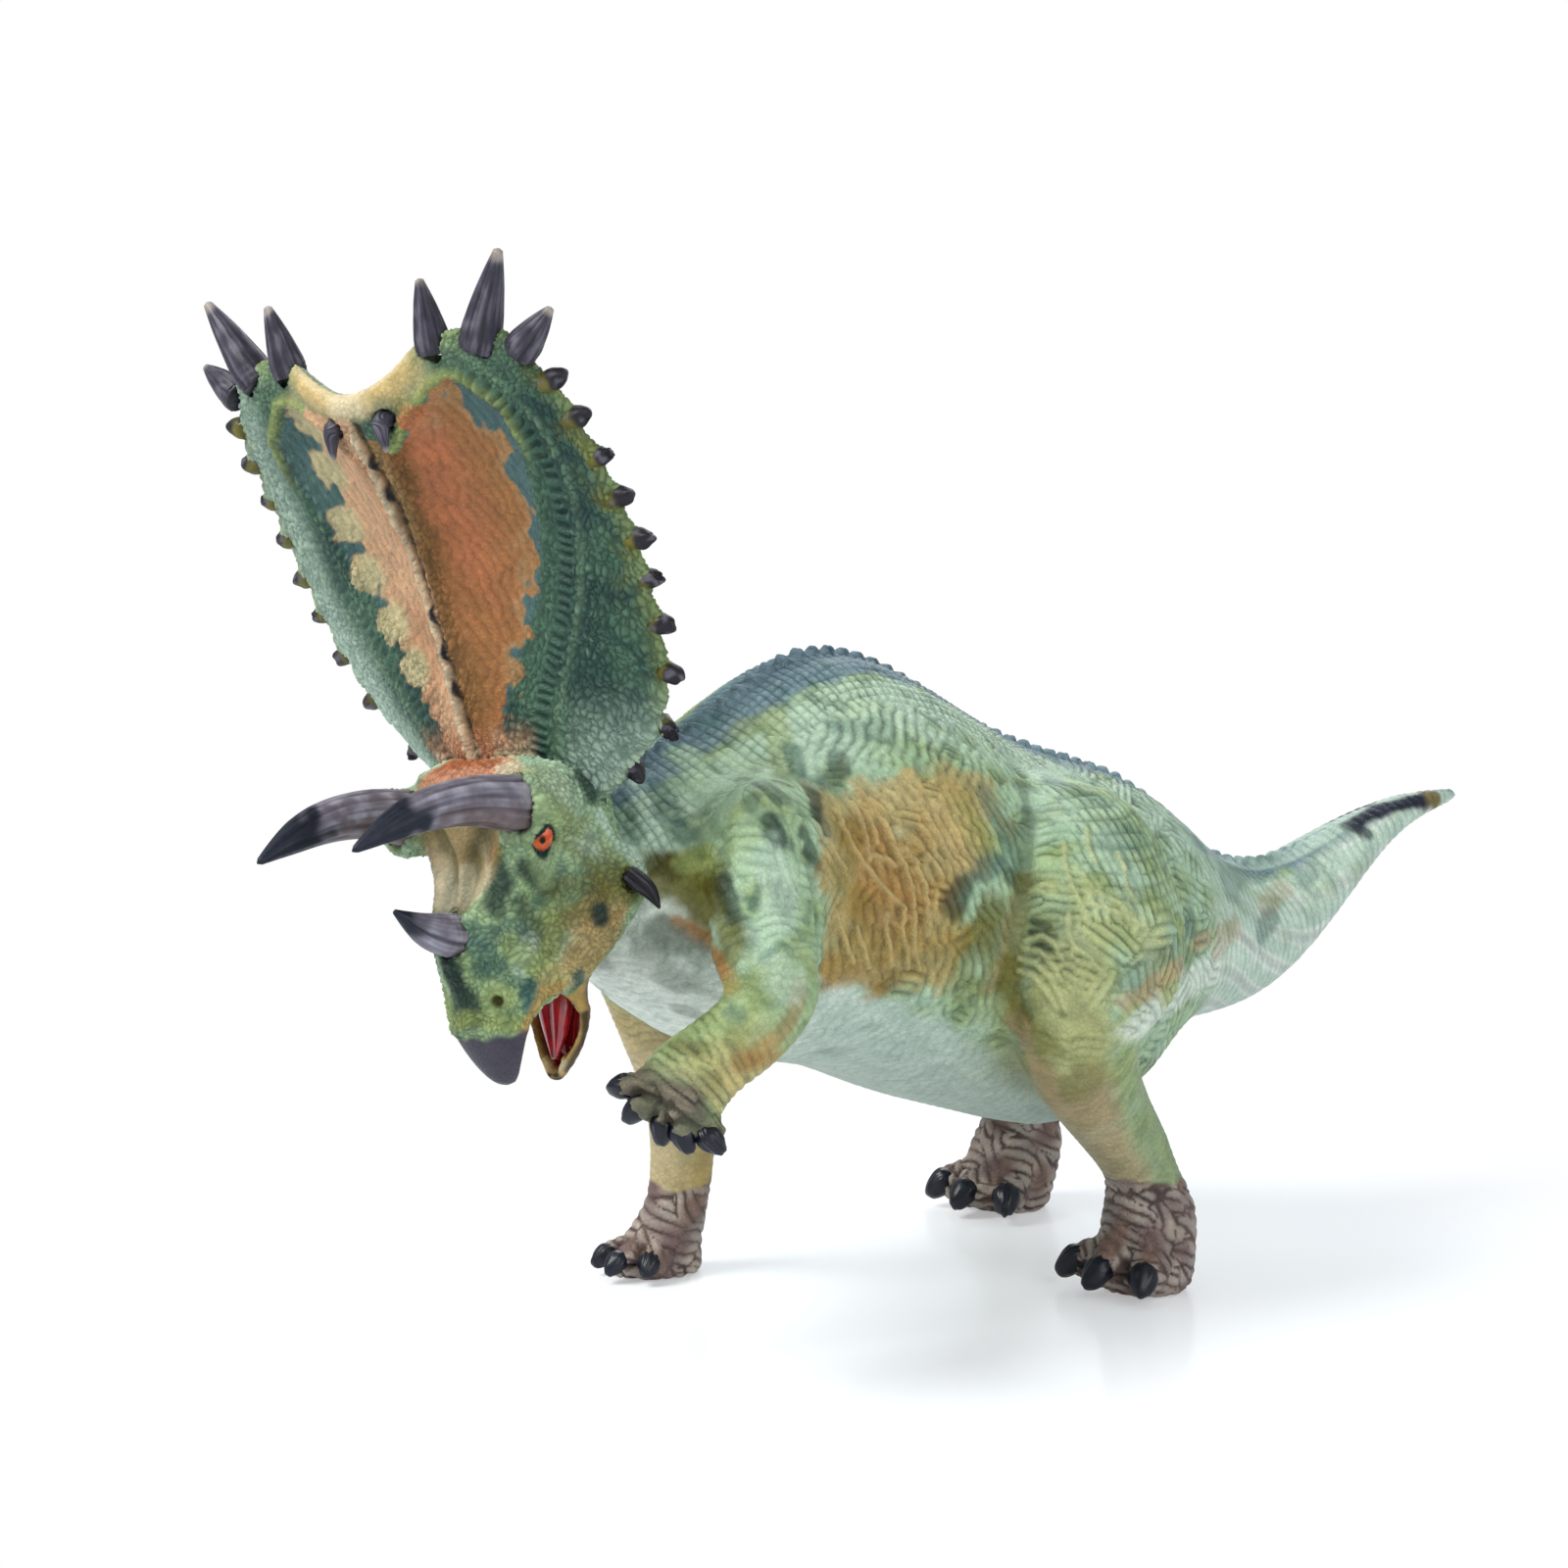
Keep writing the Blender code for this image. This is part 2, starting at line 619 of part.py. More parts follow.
def frill_mesh(name, grow):
    """A closed sheet: each row's front points, then its back points from the other side."""
    mesh = bpy.data.meshes.new(name)
    bm = bmesh.new()
    places = np.linspace(-1, 1, FRILL_ACROSS_POINTS)
    rows = []
    for i, (up, *_) in enumerate(FRILL_shares):
        half, _, thick, _ = frill_row(up)
        stretch = 1 + grow / half
        end = {0: -grow, len(FRILL_shares) - 1: grow}.get(i, 0.0)
        front, back = [], []
        for place in places:
            across = float(place)
            middle = frill_point(up, across)
            middle.x *= stretch
            middle.z += end
            depth = thick / 2 * (1 - RIM_share * across**RIM_POWER) + grow
            front.append(bm.verts.new(middle - Vector((0, depth + frill_relief(up, across), 0))))
            back.append(bm.verts.new(middle + Vector((0, depth, 0))))
        rows.append((front, back))
    for (front, back), (next_front, next_back) in zip(rows, rows[1:]):
        for i in range(FRILL_ACROSS_POINTS - 1):
            bm.faces.new((front[i], front[i + 1], next_front[i + 1], next_front[i]))
            bm.faces.new((back[i], next_back[i], next_back[i + 1], back[i + 1]))
        for i in (0, -1):
            bm.faces.new((front[i], next_front[i], next_back[i], back[i]))
    for front, back in (rows[0], rows[-1]):
        for i in range(FRILL_ACROSS_POINTS - 1):
            bm.faces.new((front[i], back[i], back[i + 1], front[i + 1]))
    bmesh.ops.recalc_face_normals(bm, faces=bm.faces)
    bm.to_mesh(mesh)
    bm.free()
    return mesh


def studs_mesh(name):
    """Small pointed studs along both side edges of the frill, as separate cones in one mesh."""
    mesh = bpy.data.meshes.new(name)
    bm = bmesh.new()
    step = STUD_RADIUS / FRILL_LENGTH
    for side in (-1, 1):
        for up in STUD_PLACES_shares:
            here = frill_point(up, side)
            along = (frill_point(up + step, side) - frill_point(up - step, side)).normalized()
            outwards = Vector((0, side, 0)).cross(along).normalized()
            turn = outwards.to_track_quat("Z", "Y").to_matrix().to_4x4()
            place = Matrix.Translation(here + outwards * STUD_HEIGHT * (STUD_OUTSIDE_share - 1 / 2)) @ turn
            bmesh.ops.create_cone(
                bm, cap_ends=True, segments=STUD_SIDES, radius1=STUD_RADIUS, radius2=STUD_TIP_RADIUS,
                depth=STUD_HEIGHT, matrix=place,
            )
    bm.to_mesh(mesh)
    bm.free()
    return mesh


def horn_mesh(name, points, radii):
    """A tapered round bar along a smooth curve, with closed ends."""
    curve = bpy.data.curves.new(name, "CURVE")
    curve.dimensions = "3D"
    curve.bevel_depth = 1
    curve.bevel_resolution = HORN_ROUND_POINTS
    curve.use_fill_caps = True
    spline = curve.splines.new("NURBS")
    spline.points.add(len(points) - 1)
    for spot, point, radius in zip(spline.points, points, radii):
        spot.co = (*point, 1)
        spot.radius = radius
    spline.order_u = HORN_ORDER_POINTS
    spline.use_endpoint_u = True
    curve.resolution_u = HORN_CURVE_POINTS
    drawn = bpy.data.objects.new(name, curve)
    bpy.context.scene.collection.objects.link(drawn)
    graph = bpy.context.evaluated_depsgraph_get()
    mesh = bpy.data.meshes.new_from_object(drawn.evaluated_get(graph))
    bpy.data.objects.remove(drawn, do_unlink=True)
    bm = bmesh.new()
    bm.from_mesh(mesh)
    bmesh.ops.remove_doubles(bm, verts=bm.verts, dist=MERGE_DISTANCE)
    bmesh.ops.recalc_face_normals(bm, faces=bm.faces)
    bm.to_mesh(mesh)
    bm.free()
    return mesh


def grown_copy(name, mesh):
    """The same mesh with every side moved outwards by the clearance."""
    made = bpy.data.meshes.new(name)
    bm = bmesh.new()
    bm.from_mesh(mesh)
    bm.normal_update()
    for vertex, outwards in [(vertex, vertex.normal.copy()) for vertex in bm.verts]:
        vertex.co += outwards * CLEARANCE
    bm.to_mesh(made)
    bm.free()
    return made


def add_horn(name, start, rows, length, radius, side, material, hosts):
    """A horn set into its hosts, each of which gets a socket with clearance all round."""
    points = [start + Vector(row[:3]) * length for row in rows]
    points = [Vector((side * point.x, point.y, point.z)) for point in points]
    radii = [row[3] * radius for row in rows]
    mesh = horn_mesh(name, points, radii)
    socket_name = name + "_socket"
    socket = add_object(socket_name, grown_copy(socket_name, mesh), head)
    horn = add_object(name, mesh, head, material)
    for host in hosts:
        cut(host, socket)
    return horn


def spike_rows(up, across, direction, reach, radius):
    """A narrow root that follows the frill, then the spike itself, from a place on the frill in metres."""
    direction = Vector(direction).normalized()
    start = frill_point(up, across)
    rows = []
    for depth in (SPIKE_ROOT, SPIKE_FLARE):
        down = frill_point(up - depth / FRILL_LENGTH, across) - start
        rows.append((*down, SPIKE_ROOT_RADIUS / radius))
    return rows + [(*(direction * at * reach), wide) for at, wide in SPIKE_shares]


def build_torso():
    """Two hollow shells that meet in the middle plane, with posts, pins, and bosses for the pegs."""
    cavity_ys = [float(y) for y in np.linspace(CAVITY_FRONT, CAVITY_BACK, CAVITY_STATIONS)]
    cavity_rings = [trunk_ring(y, -TRUNK_WALL, CAVITY_POINTS) for y in cavity_ys]
    cavity = add_object("cavity", loft("cavity", cavity_rings), root)
    far, above = TRUNK_HALF_WIDTH + OVERRUN, TRUNK_HEIGHT + OVERRUN
    behind = TRUNK_FRONT + TRUNK_LENGTH + OVERRUN
    posts = []
    for i, (along, up) in enumerate(POST_PLACES_shares):
        y, z = TRUNK_FRONT + along * TRUNK_LENGTH, up * TRUNK_HEIGHT
        post = cylinder_between(f"post_{i}", (-far, y, z), (far, y, z), POST_RADIUS, root)
        cut(cavity, post)
        posts.append((y, z))
    shells = {}
    for name, side in (("torso_left_shell", 1), ("torso_right_shell", -1)):
        shell = smooth(add_object(name, trunk_mesh(name, 0), root, body_paint))
        combine(shell, cavity, "DIFFERENCE")
        seam = side * CLEARANCE / 2
        near, beyond = (-far, seam) if side > 0 else (seam, far)
        low = (near, TRUNK_FRONT - OVERRUN, -OVERRUN)
        cut(shell, block(name + "_half", low, (beyond, behind, above), root))
        shells[side] = shell
    tail_block = block("tail_half", (-far, TAIL_SEAM - CLEARANCE / 2, -OVERRUN), (far, behind, above), root)
    for shell in shells.values():
        cut(shell, tail_block)
    for i, (y, z) in enumerate(posts):
        pin = cylinder_between(f"pin_{i}", (PIN_LENGTH, y, z), (-PIN_LENGTH, y, z), PIN_RADIUS, root)
        hole_end = (-PIN_LENGTH - CLEARANCE, y, z)
        hole = cylinder_between(f"pin_hole_{i}", (PIN_LENGTH, y, z), hole_end, PIN_RADIUS + CLEARANCE, root)
        combine(shells[1], pin, "UNION")
        cut(shells[-1], hole)
    return shells, cavity


def build_tail(shells):
    tail = smooth(add_object("tail", trunk_mesh("tail", 0), root, body_paint))
    far = TRUNK_HALF_WIDTH + OVERRUN
    front = (-far, TRUNK_FRONT - OVERRUN, -OVERRUN)
    cut(tail, block("body_half", front, (far, TAIL_SEAM + CLEARANCE / 2, TRUNK_HEIGHT + OVERRUN), root))
    top, bottom, _ = trunk_section(TAIL_SEAM)
    level = (top + bottom) / 2
    start = (0, TAIL_SEAM - TAIL_PEG_LENGTH, level)
    peg = cylinder_between("tail_peg", start, (0, TAIL_SEAM + OVERRUN, level), TAIL_PEG_RADIUS, root)
    combine(tail, peg, "UNION")
    deep = (0, start[1] - CLEARANCE, level)
    radius = TAIL_PEG_RADIUS + CLEARANCE
    socket = cylinder_between("tail_socket", deep, (0, TAIL_SEAM + OVERRUN, level), radius, root)
    for shell in shells.values():
        cut(shell, socket)


def build_legs(shells, cavity):
    """The four legs. Each peg has a boss in the cavity and a hole through the shell's wall."""
    far = TRUNK_LENGTH
    ground = block("ground", (-far, -far, -TRUNK_HEIGHT), (far, far, 0), root)
    legs = []
    for name, side, foot, hip_y, hock_back in (
        ("hind_leg_left", 1, LEFT_HIND_FOOT, LEFT_HIP_Y, 0),
        ("hind_leg_right", -1, RIGHT_HIND_FOOT, RIGHT_HIP_Y, RIGHT_HOCK_BACK),
    ):
        hip = (side * HIND_HIP_OUT, hip_y)
        hip_height = HIND_HIP_LEVEL_share * TRUNK_HEIGHT
        line = leg_line(HIND_shares, foot, hip, hip_height, HIND_GIRTH, side, hock_back)
        toes = standing_toes(foot, HIND_TOES_shares, HIND_FOOT_RADIUS, HIND_TOE_RADIUS, side)
        legs.append((side, *build_leg(name, line, toes, HIND_PEG_share, side, body_paint)))
    foot, shoulder = RIGHT_FORE_FOOT, (-FORE_HIP_OUT, RIGHT_SHOULDER_Y)
    hip_height = FORE_HIP_LEVEL_share * TRUNK_HEIGHT
    line = leg_line(FORE_shares, foot, shoulder, hip_height, FORE_GIRTH, -1)
    toes = standing_toes(foot, FORE_TOES_shares, FORE_FOOT_RADIUS, FORE_TOE_RADIUS, -1)
    legs.append((-1, *build_leg("foreleg_right", line, toes, FORE_PEG_share, -1, body_paint)))
    for _, leg, _, _ in legs:
        cut(leg, ground)

    shoulder = Vector((*RAISED_SHOULDER, RAISED_SHOULDER_LEVEL_share * TRUNK_HEIGHT))
    centres = [shoulder + Vector(row[:3]) * RAISED_REACH for row in RAISED_shares]
    halves = [(row[3] * FORE_GIRTH, row[4] * FORE_GIRTH) for row in RAISED_shares]
    hand = centres[-2]
    tips = [Vector(tip) * HAND_REACH for tip in FINGERS_shares]
    fingers = [(hand + tip * FINGER_ROOT_share, hand + tip, FINGER_RADIUS) for tip in tips]
    raised = build_leg("foreleg_left", (centres, halves), fingers, RAISED_PEG_share, 1, body_paint)
    legs.append((1, *raised))

    for side, leg, start, end in legs:
        beyond = (side * (TRUNK_HALF_WIDTH + OVERRUN), *start[1:])
        boss = cylinder_between(leg.name + "_boss", start, beyond, LEG_PEG_RADIUS + BOSS_WALL, root)
        cut(cavity, boss)
        deep = (start[0] - side * CLEARANCE, *start[1:])
        hole = cylinder_between(leg.name + "_hole", deep, beyond, LEG_PEG_RADIUS + CLEARANCE, root)
        cut(shells[side], hole)


def build_head():
    """Skull, jaw, tongue and frill, each cut by what is plugged into it, then the horns and spikes."""
    skull = smooth(add_object("skull", skull_mesh("skull", 0), head, body_paint))
    left_start = skull_point(*BROW_HORN_PLACE_share)
    brow_starts = {1: left_start, -1: left_start - Vector((0, 0, RIGHT_BROW_DROP))}
    for word, side in (("left", 1), ("right", -1)):
        start = brow_starts[side]
        behind = (side * start.x, start.y + BROW_BOSS_BEHIND, start.z)
        ahead = (side * start.x, start.y - BROW_BOSS_AHEAD, start.z)
        boss = cylinder_between(f"brow_boss_{word}", behind, ahead, BROW_BOSS_RADIUS, head, BROW_BOSS_SIDES)
        combine(skull, boss, "UNION")
    frill = smooth(add_object("frill", frill_mesh("frill", 0), head, frill_paint))
    combine(frill, add_object("studs", studs_mesh("studs"), head), "UNION")
    jaw = smooth(add_object("lower_jaw", jaw_mesh("lower_jaw", 0), head, body_paint))
    tongue = smooth(add_object("tongue", tongue_mesh("tongue", 0), head, mouth_paint))
    grown_frill = smooth(add_object("frill_grown", frill_mesh("frill_grown", CLEARANCE), head))
    grown_jaw = smooth(add_object("jaw_grown", jaw_mesh("jaw_grown", CLEARANCE), head))
    grown_tongue = smooth(add_object("tongue_grown", tongue_mesh("tongue_grown", CLEARANCE), head))
    cut(skull, trunk_grown, grown_frill, grown_jaw, grown_tongue)
    cut(jaw, trunk_grown, grown_tongue)
    cut(frill, trunk_grown)

    for word, side in (("left", 1), ("right", -1)):
        add_horn(
            f"brow_horn_{word}", brow_starts[side], BROW_HORN_shares, BROW_HORN_LENGTH,
            BROW_HORN_RADIUS, side, horn_paint, (skull, frill),
        )
        cheek_horn = add_horn(
            f"cheek_horn_{word}", skull_point(*CHEEK_HORN_PLACE_share), CHEEK_HORN_shares,
            CHEEK_HORN_LENGTH, CHEEK_HORN_RADIUS, side, horn_paint, (skull,),
        )
        cut(cheek_horn, trunk_grown)
        for kind, place, direction, long_share, thick_share in SPIKES_shares:
            radius = SPIKE_RADIUS * thick_share
            rows = spike_rows(*place, direction, SPIKE_LENGTH * long_share, radius)
            name = f"frill_spike_{kind}_{word}"
            add_horn(name, frill_point(*place), rows, 1, radius, side, horn_paint, (frill,))
        add_horn(
            f"frill_hook_{word}", frill_point(*HOOK_PLACE_share), HOOK_shares, HOOK_LENGTH, HOOK_RADIUS,
            side, horn_paint, (frill,),
        )
    add_horn(
        "nose_horn", skull_point(*NOSE_HORN_PLACE_share), NOSE_HORN_shares, NOSE_HORN_LENGTH,
        NOSE_HORN_RADIUS, 1, horn_paint, (skull,),
    )


def centre_on_ground():
    """Moves the figure so that its box is centred over the origin."""
    bpy.context.view_layer.update()
    graph = bpy.context.evaluated_depsgraph_get()
    corners = []
    for obj in figure.objects:
        if obj.type != "MESH":
            continue
        evaluated = obj.evaluated_get(graph)
        corners += [evaluated.matrix_world @ vertex.co for vertex in evaluated.data.vertices]
    low = [min(corner[axis] for corner in corners) for axis in range(2)]
    high = [max(corner[axis] for corner in corners) for axis in range(2)]
    root.location = (-(low[0] + high[0]) / 2, -(low[1] + high[1]) / 2, 0)


clear_scene()
figure = new_collection("horned_dinosaur", False)
cutters = new_collection("cutters", True)
body_paint = paint("painted_skin", (0.36, 0.45, 0.22), 0.5)
frill_paint = paint("painted_frill", (0.24, 0.36, 0.24), 0.5)
horn_paint = paint("painted_horn", (0.10, 0.09, 0.11), 0.4)
mouth_paint = paint("gloss_mouth", (0.45, 0.03, 0.04), 0.15)
root = bpy.data.objects.new("figure_root", None)
figure.objects.link(root)
head = bpy.data.objects.new("head_frame", None)
figure.objects.link(head)
head.parent = root
head.location = HEAD_PIVOT
head.rotation_euler = (Matrix.Rotation(HEAD_TURN, 3, "Z") @ Matrix.Rotation(-HEAD_ROLL, 3, "Y")).to_euler()
trunk_grown = smooth(add_object("trunk_grown", trunk_mesh("trunk_grown", CLEARANCE), root))
shells, cavity = build_torso()
build_tail(shells)
build_legs(shells, cavity)
build_head()
centre_on_ground()
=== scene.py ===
"""The looks of a horned dinosaur figure: sculpted and painted skin, horns, eyes, nails and studs.

Sizes are in millimetres in the figure's own axes: X to the animal's left, Y backwards, Z up, with Y = 0
and X = 0 where the body was laid out. Places read from the photograph are pixels of its 1600 x 1600
frame, and each is cast from the photograph's camera onto the surface that carries it.
"""

import itertools
import math

import bmesh
import bpy
import numpy as np
from mathutils import Matrix, Vector
from mathutils.bvhtree import BVHTree


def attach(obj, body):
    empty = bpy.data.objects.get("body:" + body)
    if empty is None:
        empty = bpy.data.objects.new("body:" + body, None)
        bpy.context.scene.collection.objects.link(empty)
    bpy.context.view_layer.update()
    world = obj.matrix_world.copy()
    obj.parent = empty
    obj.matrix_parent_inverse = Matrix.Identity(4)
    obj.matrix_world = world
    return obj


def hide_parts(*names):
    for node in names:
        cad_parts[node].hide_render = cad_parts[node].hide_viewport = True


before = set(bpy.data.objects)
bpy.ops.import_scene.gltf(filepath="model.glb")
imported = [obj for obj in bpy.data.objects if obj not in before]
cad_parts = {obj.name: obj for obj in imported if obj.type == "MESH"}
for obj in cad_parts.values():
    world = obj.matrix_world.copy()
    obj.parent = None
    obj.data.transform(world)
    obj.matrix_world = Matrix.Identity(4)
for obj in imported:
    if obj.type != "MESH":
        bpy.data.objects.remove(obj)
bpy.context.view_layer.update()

MM = 0.001
# Where the layout's own origin stands in the frame
LAYOUT_ORIGIN = np.array((0.317, -8.488, 0.0))

# The photograph's camera
VIEW_AZIMUTH = 50
VIEW_ELEVATION = 8
VIEW_DISTANCE = 570.0
VIEW_TARGET = np.array((-19.78, 0.0, 64.0))
LENS = 100
SENSOR = 36
PHOTO_SIZE = 1600

# The head's own frame: W to the animal's left, A backwards, B up
HEAD_PIVOT = np.array((0.0, -55.0, 65.0))
HEAD_ROLL = math.radians(8)
HEAD_TURN = math.radians(8)

# Frill outline, as in the solids
FRILL_BASE = 1.0
FRILL_LENGTH = 58.5
FRILL_HALF_WIDTH = 29.0
FRILL_LEAN = 18.0
FRILL_BASE_A = -3.5
FRILL_SWEEP = 7.5
FRILL_NOTCH = 6.0
FRILL_THICKNESS = 3.6
NOTCH_HALF_WIDTH = 0.50
# Each row: place up the length, half width, sweep of the edges, lean, thickness
FRILL_ROWS = np.array((
    (0.00, 0.30, 0.30, 0.00, 1.00),
    (0.08, 0.48, 0.80, 0.05, 1.10),
    (0.17, 0.74, 1.00, 0.11, 1.05),
    (0.28, 0.88, 0.86, 0.19, 1.00),
    (0.41, 0.96, 0.68, 0.29, 1.00),
    (0.55, 1.00, 0.52, 0.39, 0.95),
    (0.69, 0.99, 0.40, 0.54, 0.95),
    (0.82, 0.965, 0.32, 0.74, 0.95),
    (0.92, 0.92, 0.30, 0.90, 1.00),
    (1.00, 0.77, 0.27, 1.00, 0.95),
))

# Centre lines of the limbs, from the joint down to the ground
LIMBS = {
    "hind_leg_left": (
        (20.0, 18.5, 59.8), (24.3, 14.7, 52.5), (26.7, 11.4, 45.1), (27.2, 9.1, 39.7), (26.4, 9.4, 34.8),
        (25.0, 13.0, 29.9), (23.5, 18.4, 23.8), (22.0, 24.2, 18.3), (21.2, 26.9, 10.4), (21.5, 26.5, 0.0),
    ),
    "hind_leg_right": (
        (-20.1, 29.1, 59.8), (-24.6, 26.0, 52.5), (-27.3, 23.5, 45.1), (-28.0, 21.7, 39.7), (-27.3, 22.7, 34.8),
        (-26.2, 27.8, 29.9), (-25.5, 35.4, 23.8), (-24.2, 43.3, 18.3), (-23.3, 45.0, 10.4), (-23.7, 43.0, 0.0),
    ),
    "foreleg_right": (
        (-17.8, -26.7, 56.3), (-20.3, -24.0, 47.6), (-22.2, -20.3, 38.3), (-22.5, -17.9, 31.3),
        (-22.6, -15.4, 25.5), (-23.7, -13.9, 18.6), (-24.9, -14.2, 8.7), (-26.2, -16.0, 0.0),
    ),
    "foreleg_left": (
        (19.5, -33.6, 66.5), (22.3, -38.0, 58.7), (24.8, -40.0, 51.9), (26.8, -40.3, 47.2),
        (27.1, -44.2, 44.1), (26.2, -47.8, 41.9), (25.1, -50.4, 40.3), (24.5, -52.9, 37.9), (24.3, -55.1, 35.7),
    ),
}
BODY_NODES = ("torso_left_shell", "torso_right_shell", "tail", *LIMBS)

# Paint, as on a screen from 0 to 255
COLOURS = {
    "mint": (160, 186, 156),
    "pale mint": (180, 202, 186),
    "belly mint": (176, 192, 180),
    "white mint": (214, 222, 212),
    "chest grey": (112, 122, 110),
    "yellow green": (142, 155, 92),
    "thigh cream": (186, 190, 138),
    "tail tip": (116, 104, 66),
    "foot brown": (110, 90, 88),
    "light green": (142, 165, 118),
    "shin green": (132, 146, 100),
    "olive": (102, 97, 34),
    "dark olive": (68, 64, 22),
    "grey olive": (100, 98, 82),
    "teal": (54, 90, 86),
    "dark teal": (24, 48, 42),
    "grey blue": (98, 121, 136),
    "slate": (66, 84, 100),
    "tan": (172, 142, 84),
    "orange tan": (148, 104, 52),
    "sand": (194, 170, 116),
    "cream": (204, 192, 162),
    "pink tan": (172, 146, 114),
    "brown": (92, 76, 68),
    "dark brown": (50, 40, 34),
    "rose brown": (128, 102, 90),
    "navy": (34, 40, 54),
    "black": (14, 15, 19),
    "red brown": (150, 86, 50),
    "terracotta": (186, 128, 98),
    "orange": (150, 98, 60),
    "pink orange": (180, 110, 76),
    "field tan": (160, 114, 70),
    "field olive": (100, 74, 38),
    "frill green": (72, 102, 84),
    "frill light": (122, 150, 120),
    "frill dark": (34, 62, 62),
    "blue green": (76, 104, 104),
    "peach": (196, 156, 122),
    "cream yellow": (182, 176, 136),
    "forehead": (134, 110, 72),
    "eye orange": (222, 84, 46),
    "horn": (104, 100, 112),
    "horn lilac": (146, 146, 158),
    "horn brown": (98, 82, 80),
    "horn dark": (26, 24, 32),
    "horn tip": (14, 22, 38),
    "hand brown": (92, 80, 66),
    "spike": (52, 50, 62),
    "cream grey": (170, 160, 150),
    "beak": (66, 63, 74),
    "cheek tan": (166, 136, 88),
    "blue pale": (150, 178, 172),
    "lip": (172, 142, 84),
    "mouth red": (120, 4, 10),
    "tongue": (150, 22, 30),
    "nail": (14, 18, 30),
}


def linear(name):
    """A named paint as linear light."""
    value = np.array(COLOURS[name]) / 255
    return np.where(value <= 0.04045, value / 12.92, ((value + 0.055) / 1.055) ** 2.4)


def ease(low, high, value):
    """0 below low, 1 above high, and smooth between; low may be the larger."""
    step = np.clip((value - low) / (high - low), 0, 1)
    return step * step * (3 - 2 * step)


def mix(first, second, share):
    return first + (second - first) * share


# Places
TURN = Matrix.Rotation(HEAD_TURN, 3, "Z") @ Matrix.Rotation(-HEAD_ROLL, 3, "Y")
HEAD_AXES = np.array(TURN)


def head_to_body(points):
    return HEAD_PIVOT + np.asarray(points, float) @ HEAD_AXES.T


def body_to_head(points):
    return (np.asarray(points, float) - HEAD_PIVOT) @ HEAD_AXES


def mirrored_body(points):
    return np.asarray(points, float) * (-1, 1, 1)


def mirrored_head(points):
    return head_to_body(body_to_head(points) * (-1, 1, 1))


class Photo:
    """The photograph's camera: it casts a pixel as a ray and finds a place's pixel."""

    def __init__(self):
        azimuth, elevation = math.radians(VIEW_AZIMUTH), math.radians(VIEW_ELEVATION)
        level = math.cos(elevation)
        back = np.array((math.sin(azimuth) * level, -math.cos(azimuth) * level, math.sin(elevation)))
        self.eye = VIEW_TARGET + VIEW_DISTANCE * back
        self.ahead = -back
        self.right = np.array((math.cos(azimuth), math.sin(azimuth), 0.0))
        self.up = np.cross(self.right, self.ahead)
        self.scale = LENS / SENSOR * PHOTO_SIZE

    def ray(self, pixel):
        x, y = (np.array(pixel) - PHOTO_SIZE / 2) / self.scale
        ray = self.ahead + self.right * x - self.up * y
        return ray / np.linalg.norm(ray)

    def pixels(self, points):
        seen = points - self.eye
        depth = seen @ self.ahead
        x = PHOTO_SIZE / 2 + self.scale * (seen @ self.right) / depth
        y = PHOTO_SIZE / 2 - self.scale * (seen @ self.up) / depth
        return np.stack((x, y), 1)


photo = Photo()


def waves(points, spacing, seed, axis=None, spread=0.35, count=22):
    """Many crossing waves of about one spacing: a field near -1 to 1 whose folds fork and join.

    With an axis, the folds lie square to it, the more strictly the smaller the spread.
    """
    rng = np.random.default_rng(seed)
    runs = rng.normal(size=(count, 3))
    if axis is not None:
        runs = np.array(axis) / np.linalg.norm(axis) + spread * runs
    runs /= np.linalg.norm(runs, axis=1, keepdims=True)
    runs *= 2 * math.pi * rng.uniform(0.86, 1.16, (count, 1)) / spacing
    total = np.zeros(len(points))
    for run, phase in zip(runs, rng.uniform(0, 2 * math.pi, count)):
        total += np.cos(points @ run + phase)
    return total / math.sqrt(count)


def folds(points, spacing, seed, axis, spread=0.20, count=16):
    """Folds side by side that fork and join: 1 on the top of a fold, 0 in the groove between two."""
    rng = np.random.default_rng(seed)
    runs = np.array(axis, float) / np.linalg.norm(axis) + spread * rng.normal(size=(count, 3))
    runs /= np.linalg.norm(runs, axis=1, keepdims=True)
    runs *= 2 * math.pi * rng.uniform(0.92, 1.08, (count, 1)) / spacing
    level, turned = np.zeros(len(points)), np.zeros(len(points))
    for run, phase in zip(runs, rng.uniform(0, 2 * math.pi, count)):
        angle = points @ run + phase
        level += np.cos(angle)
        turned += np.sin(angle)
    return 0.5 + 0.5 * level / np.maximum(np.hypot(level, turned), 1e-9)


def patchwork(points, spacing, seed, axes, size, spread=0.14):
    """Patches of side-by-side folds at several angles, with a groove where two patches meet."""
    best = np.full(len(points), -9.0)
    second = best.copy()
    made = np.zeros(len(points))
    for i, axis in enumerate(axes):
        weight = waves(points, size, seed + 20 + i, count=12)
        here = folds(points, spacing, seed + i, axis, spread, 10)
        ahead = weight > best
        second = np.where(ahead, best, np.maximum(second, weight))
        made = np.where(ahead, here, made)
        best = np.where(ahead, weight, best)
    return made * ease(0.0, 0.16, best - second)


def scattered(corner, seed):
    """Three even random numbers for each whole-number place."""
    numbers = []
    for turn in range(3):
        mixed = corner[:, 0] * 374761393 + corner[:, 1] * 668265263 + corner[:, 2] * 1442695041
        mixed = (mixed + (seed * 3 + turn) * 974634777) & 0xFFFFFFFF
        mixed = ((mixed ^ (mixed >> 13)) * 1274126177) & 0xFFFFFFFF
        mixed = ((mixed ^ (mixed >> 15)) * 2246822519) & 0xFFFFFFFF
        numbers.append((mixed ^ (mixed >> 16)) / 0xFFFFFFFF)
    return np.stack(numbers, 1)


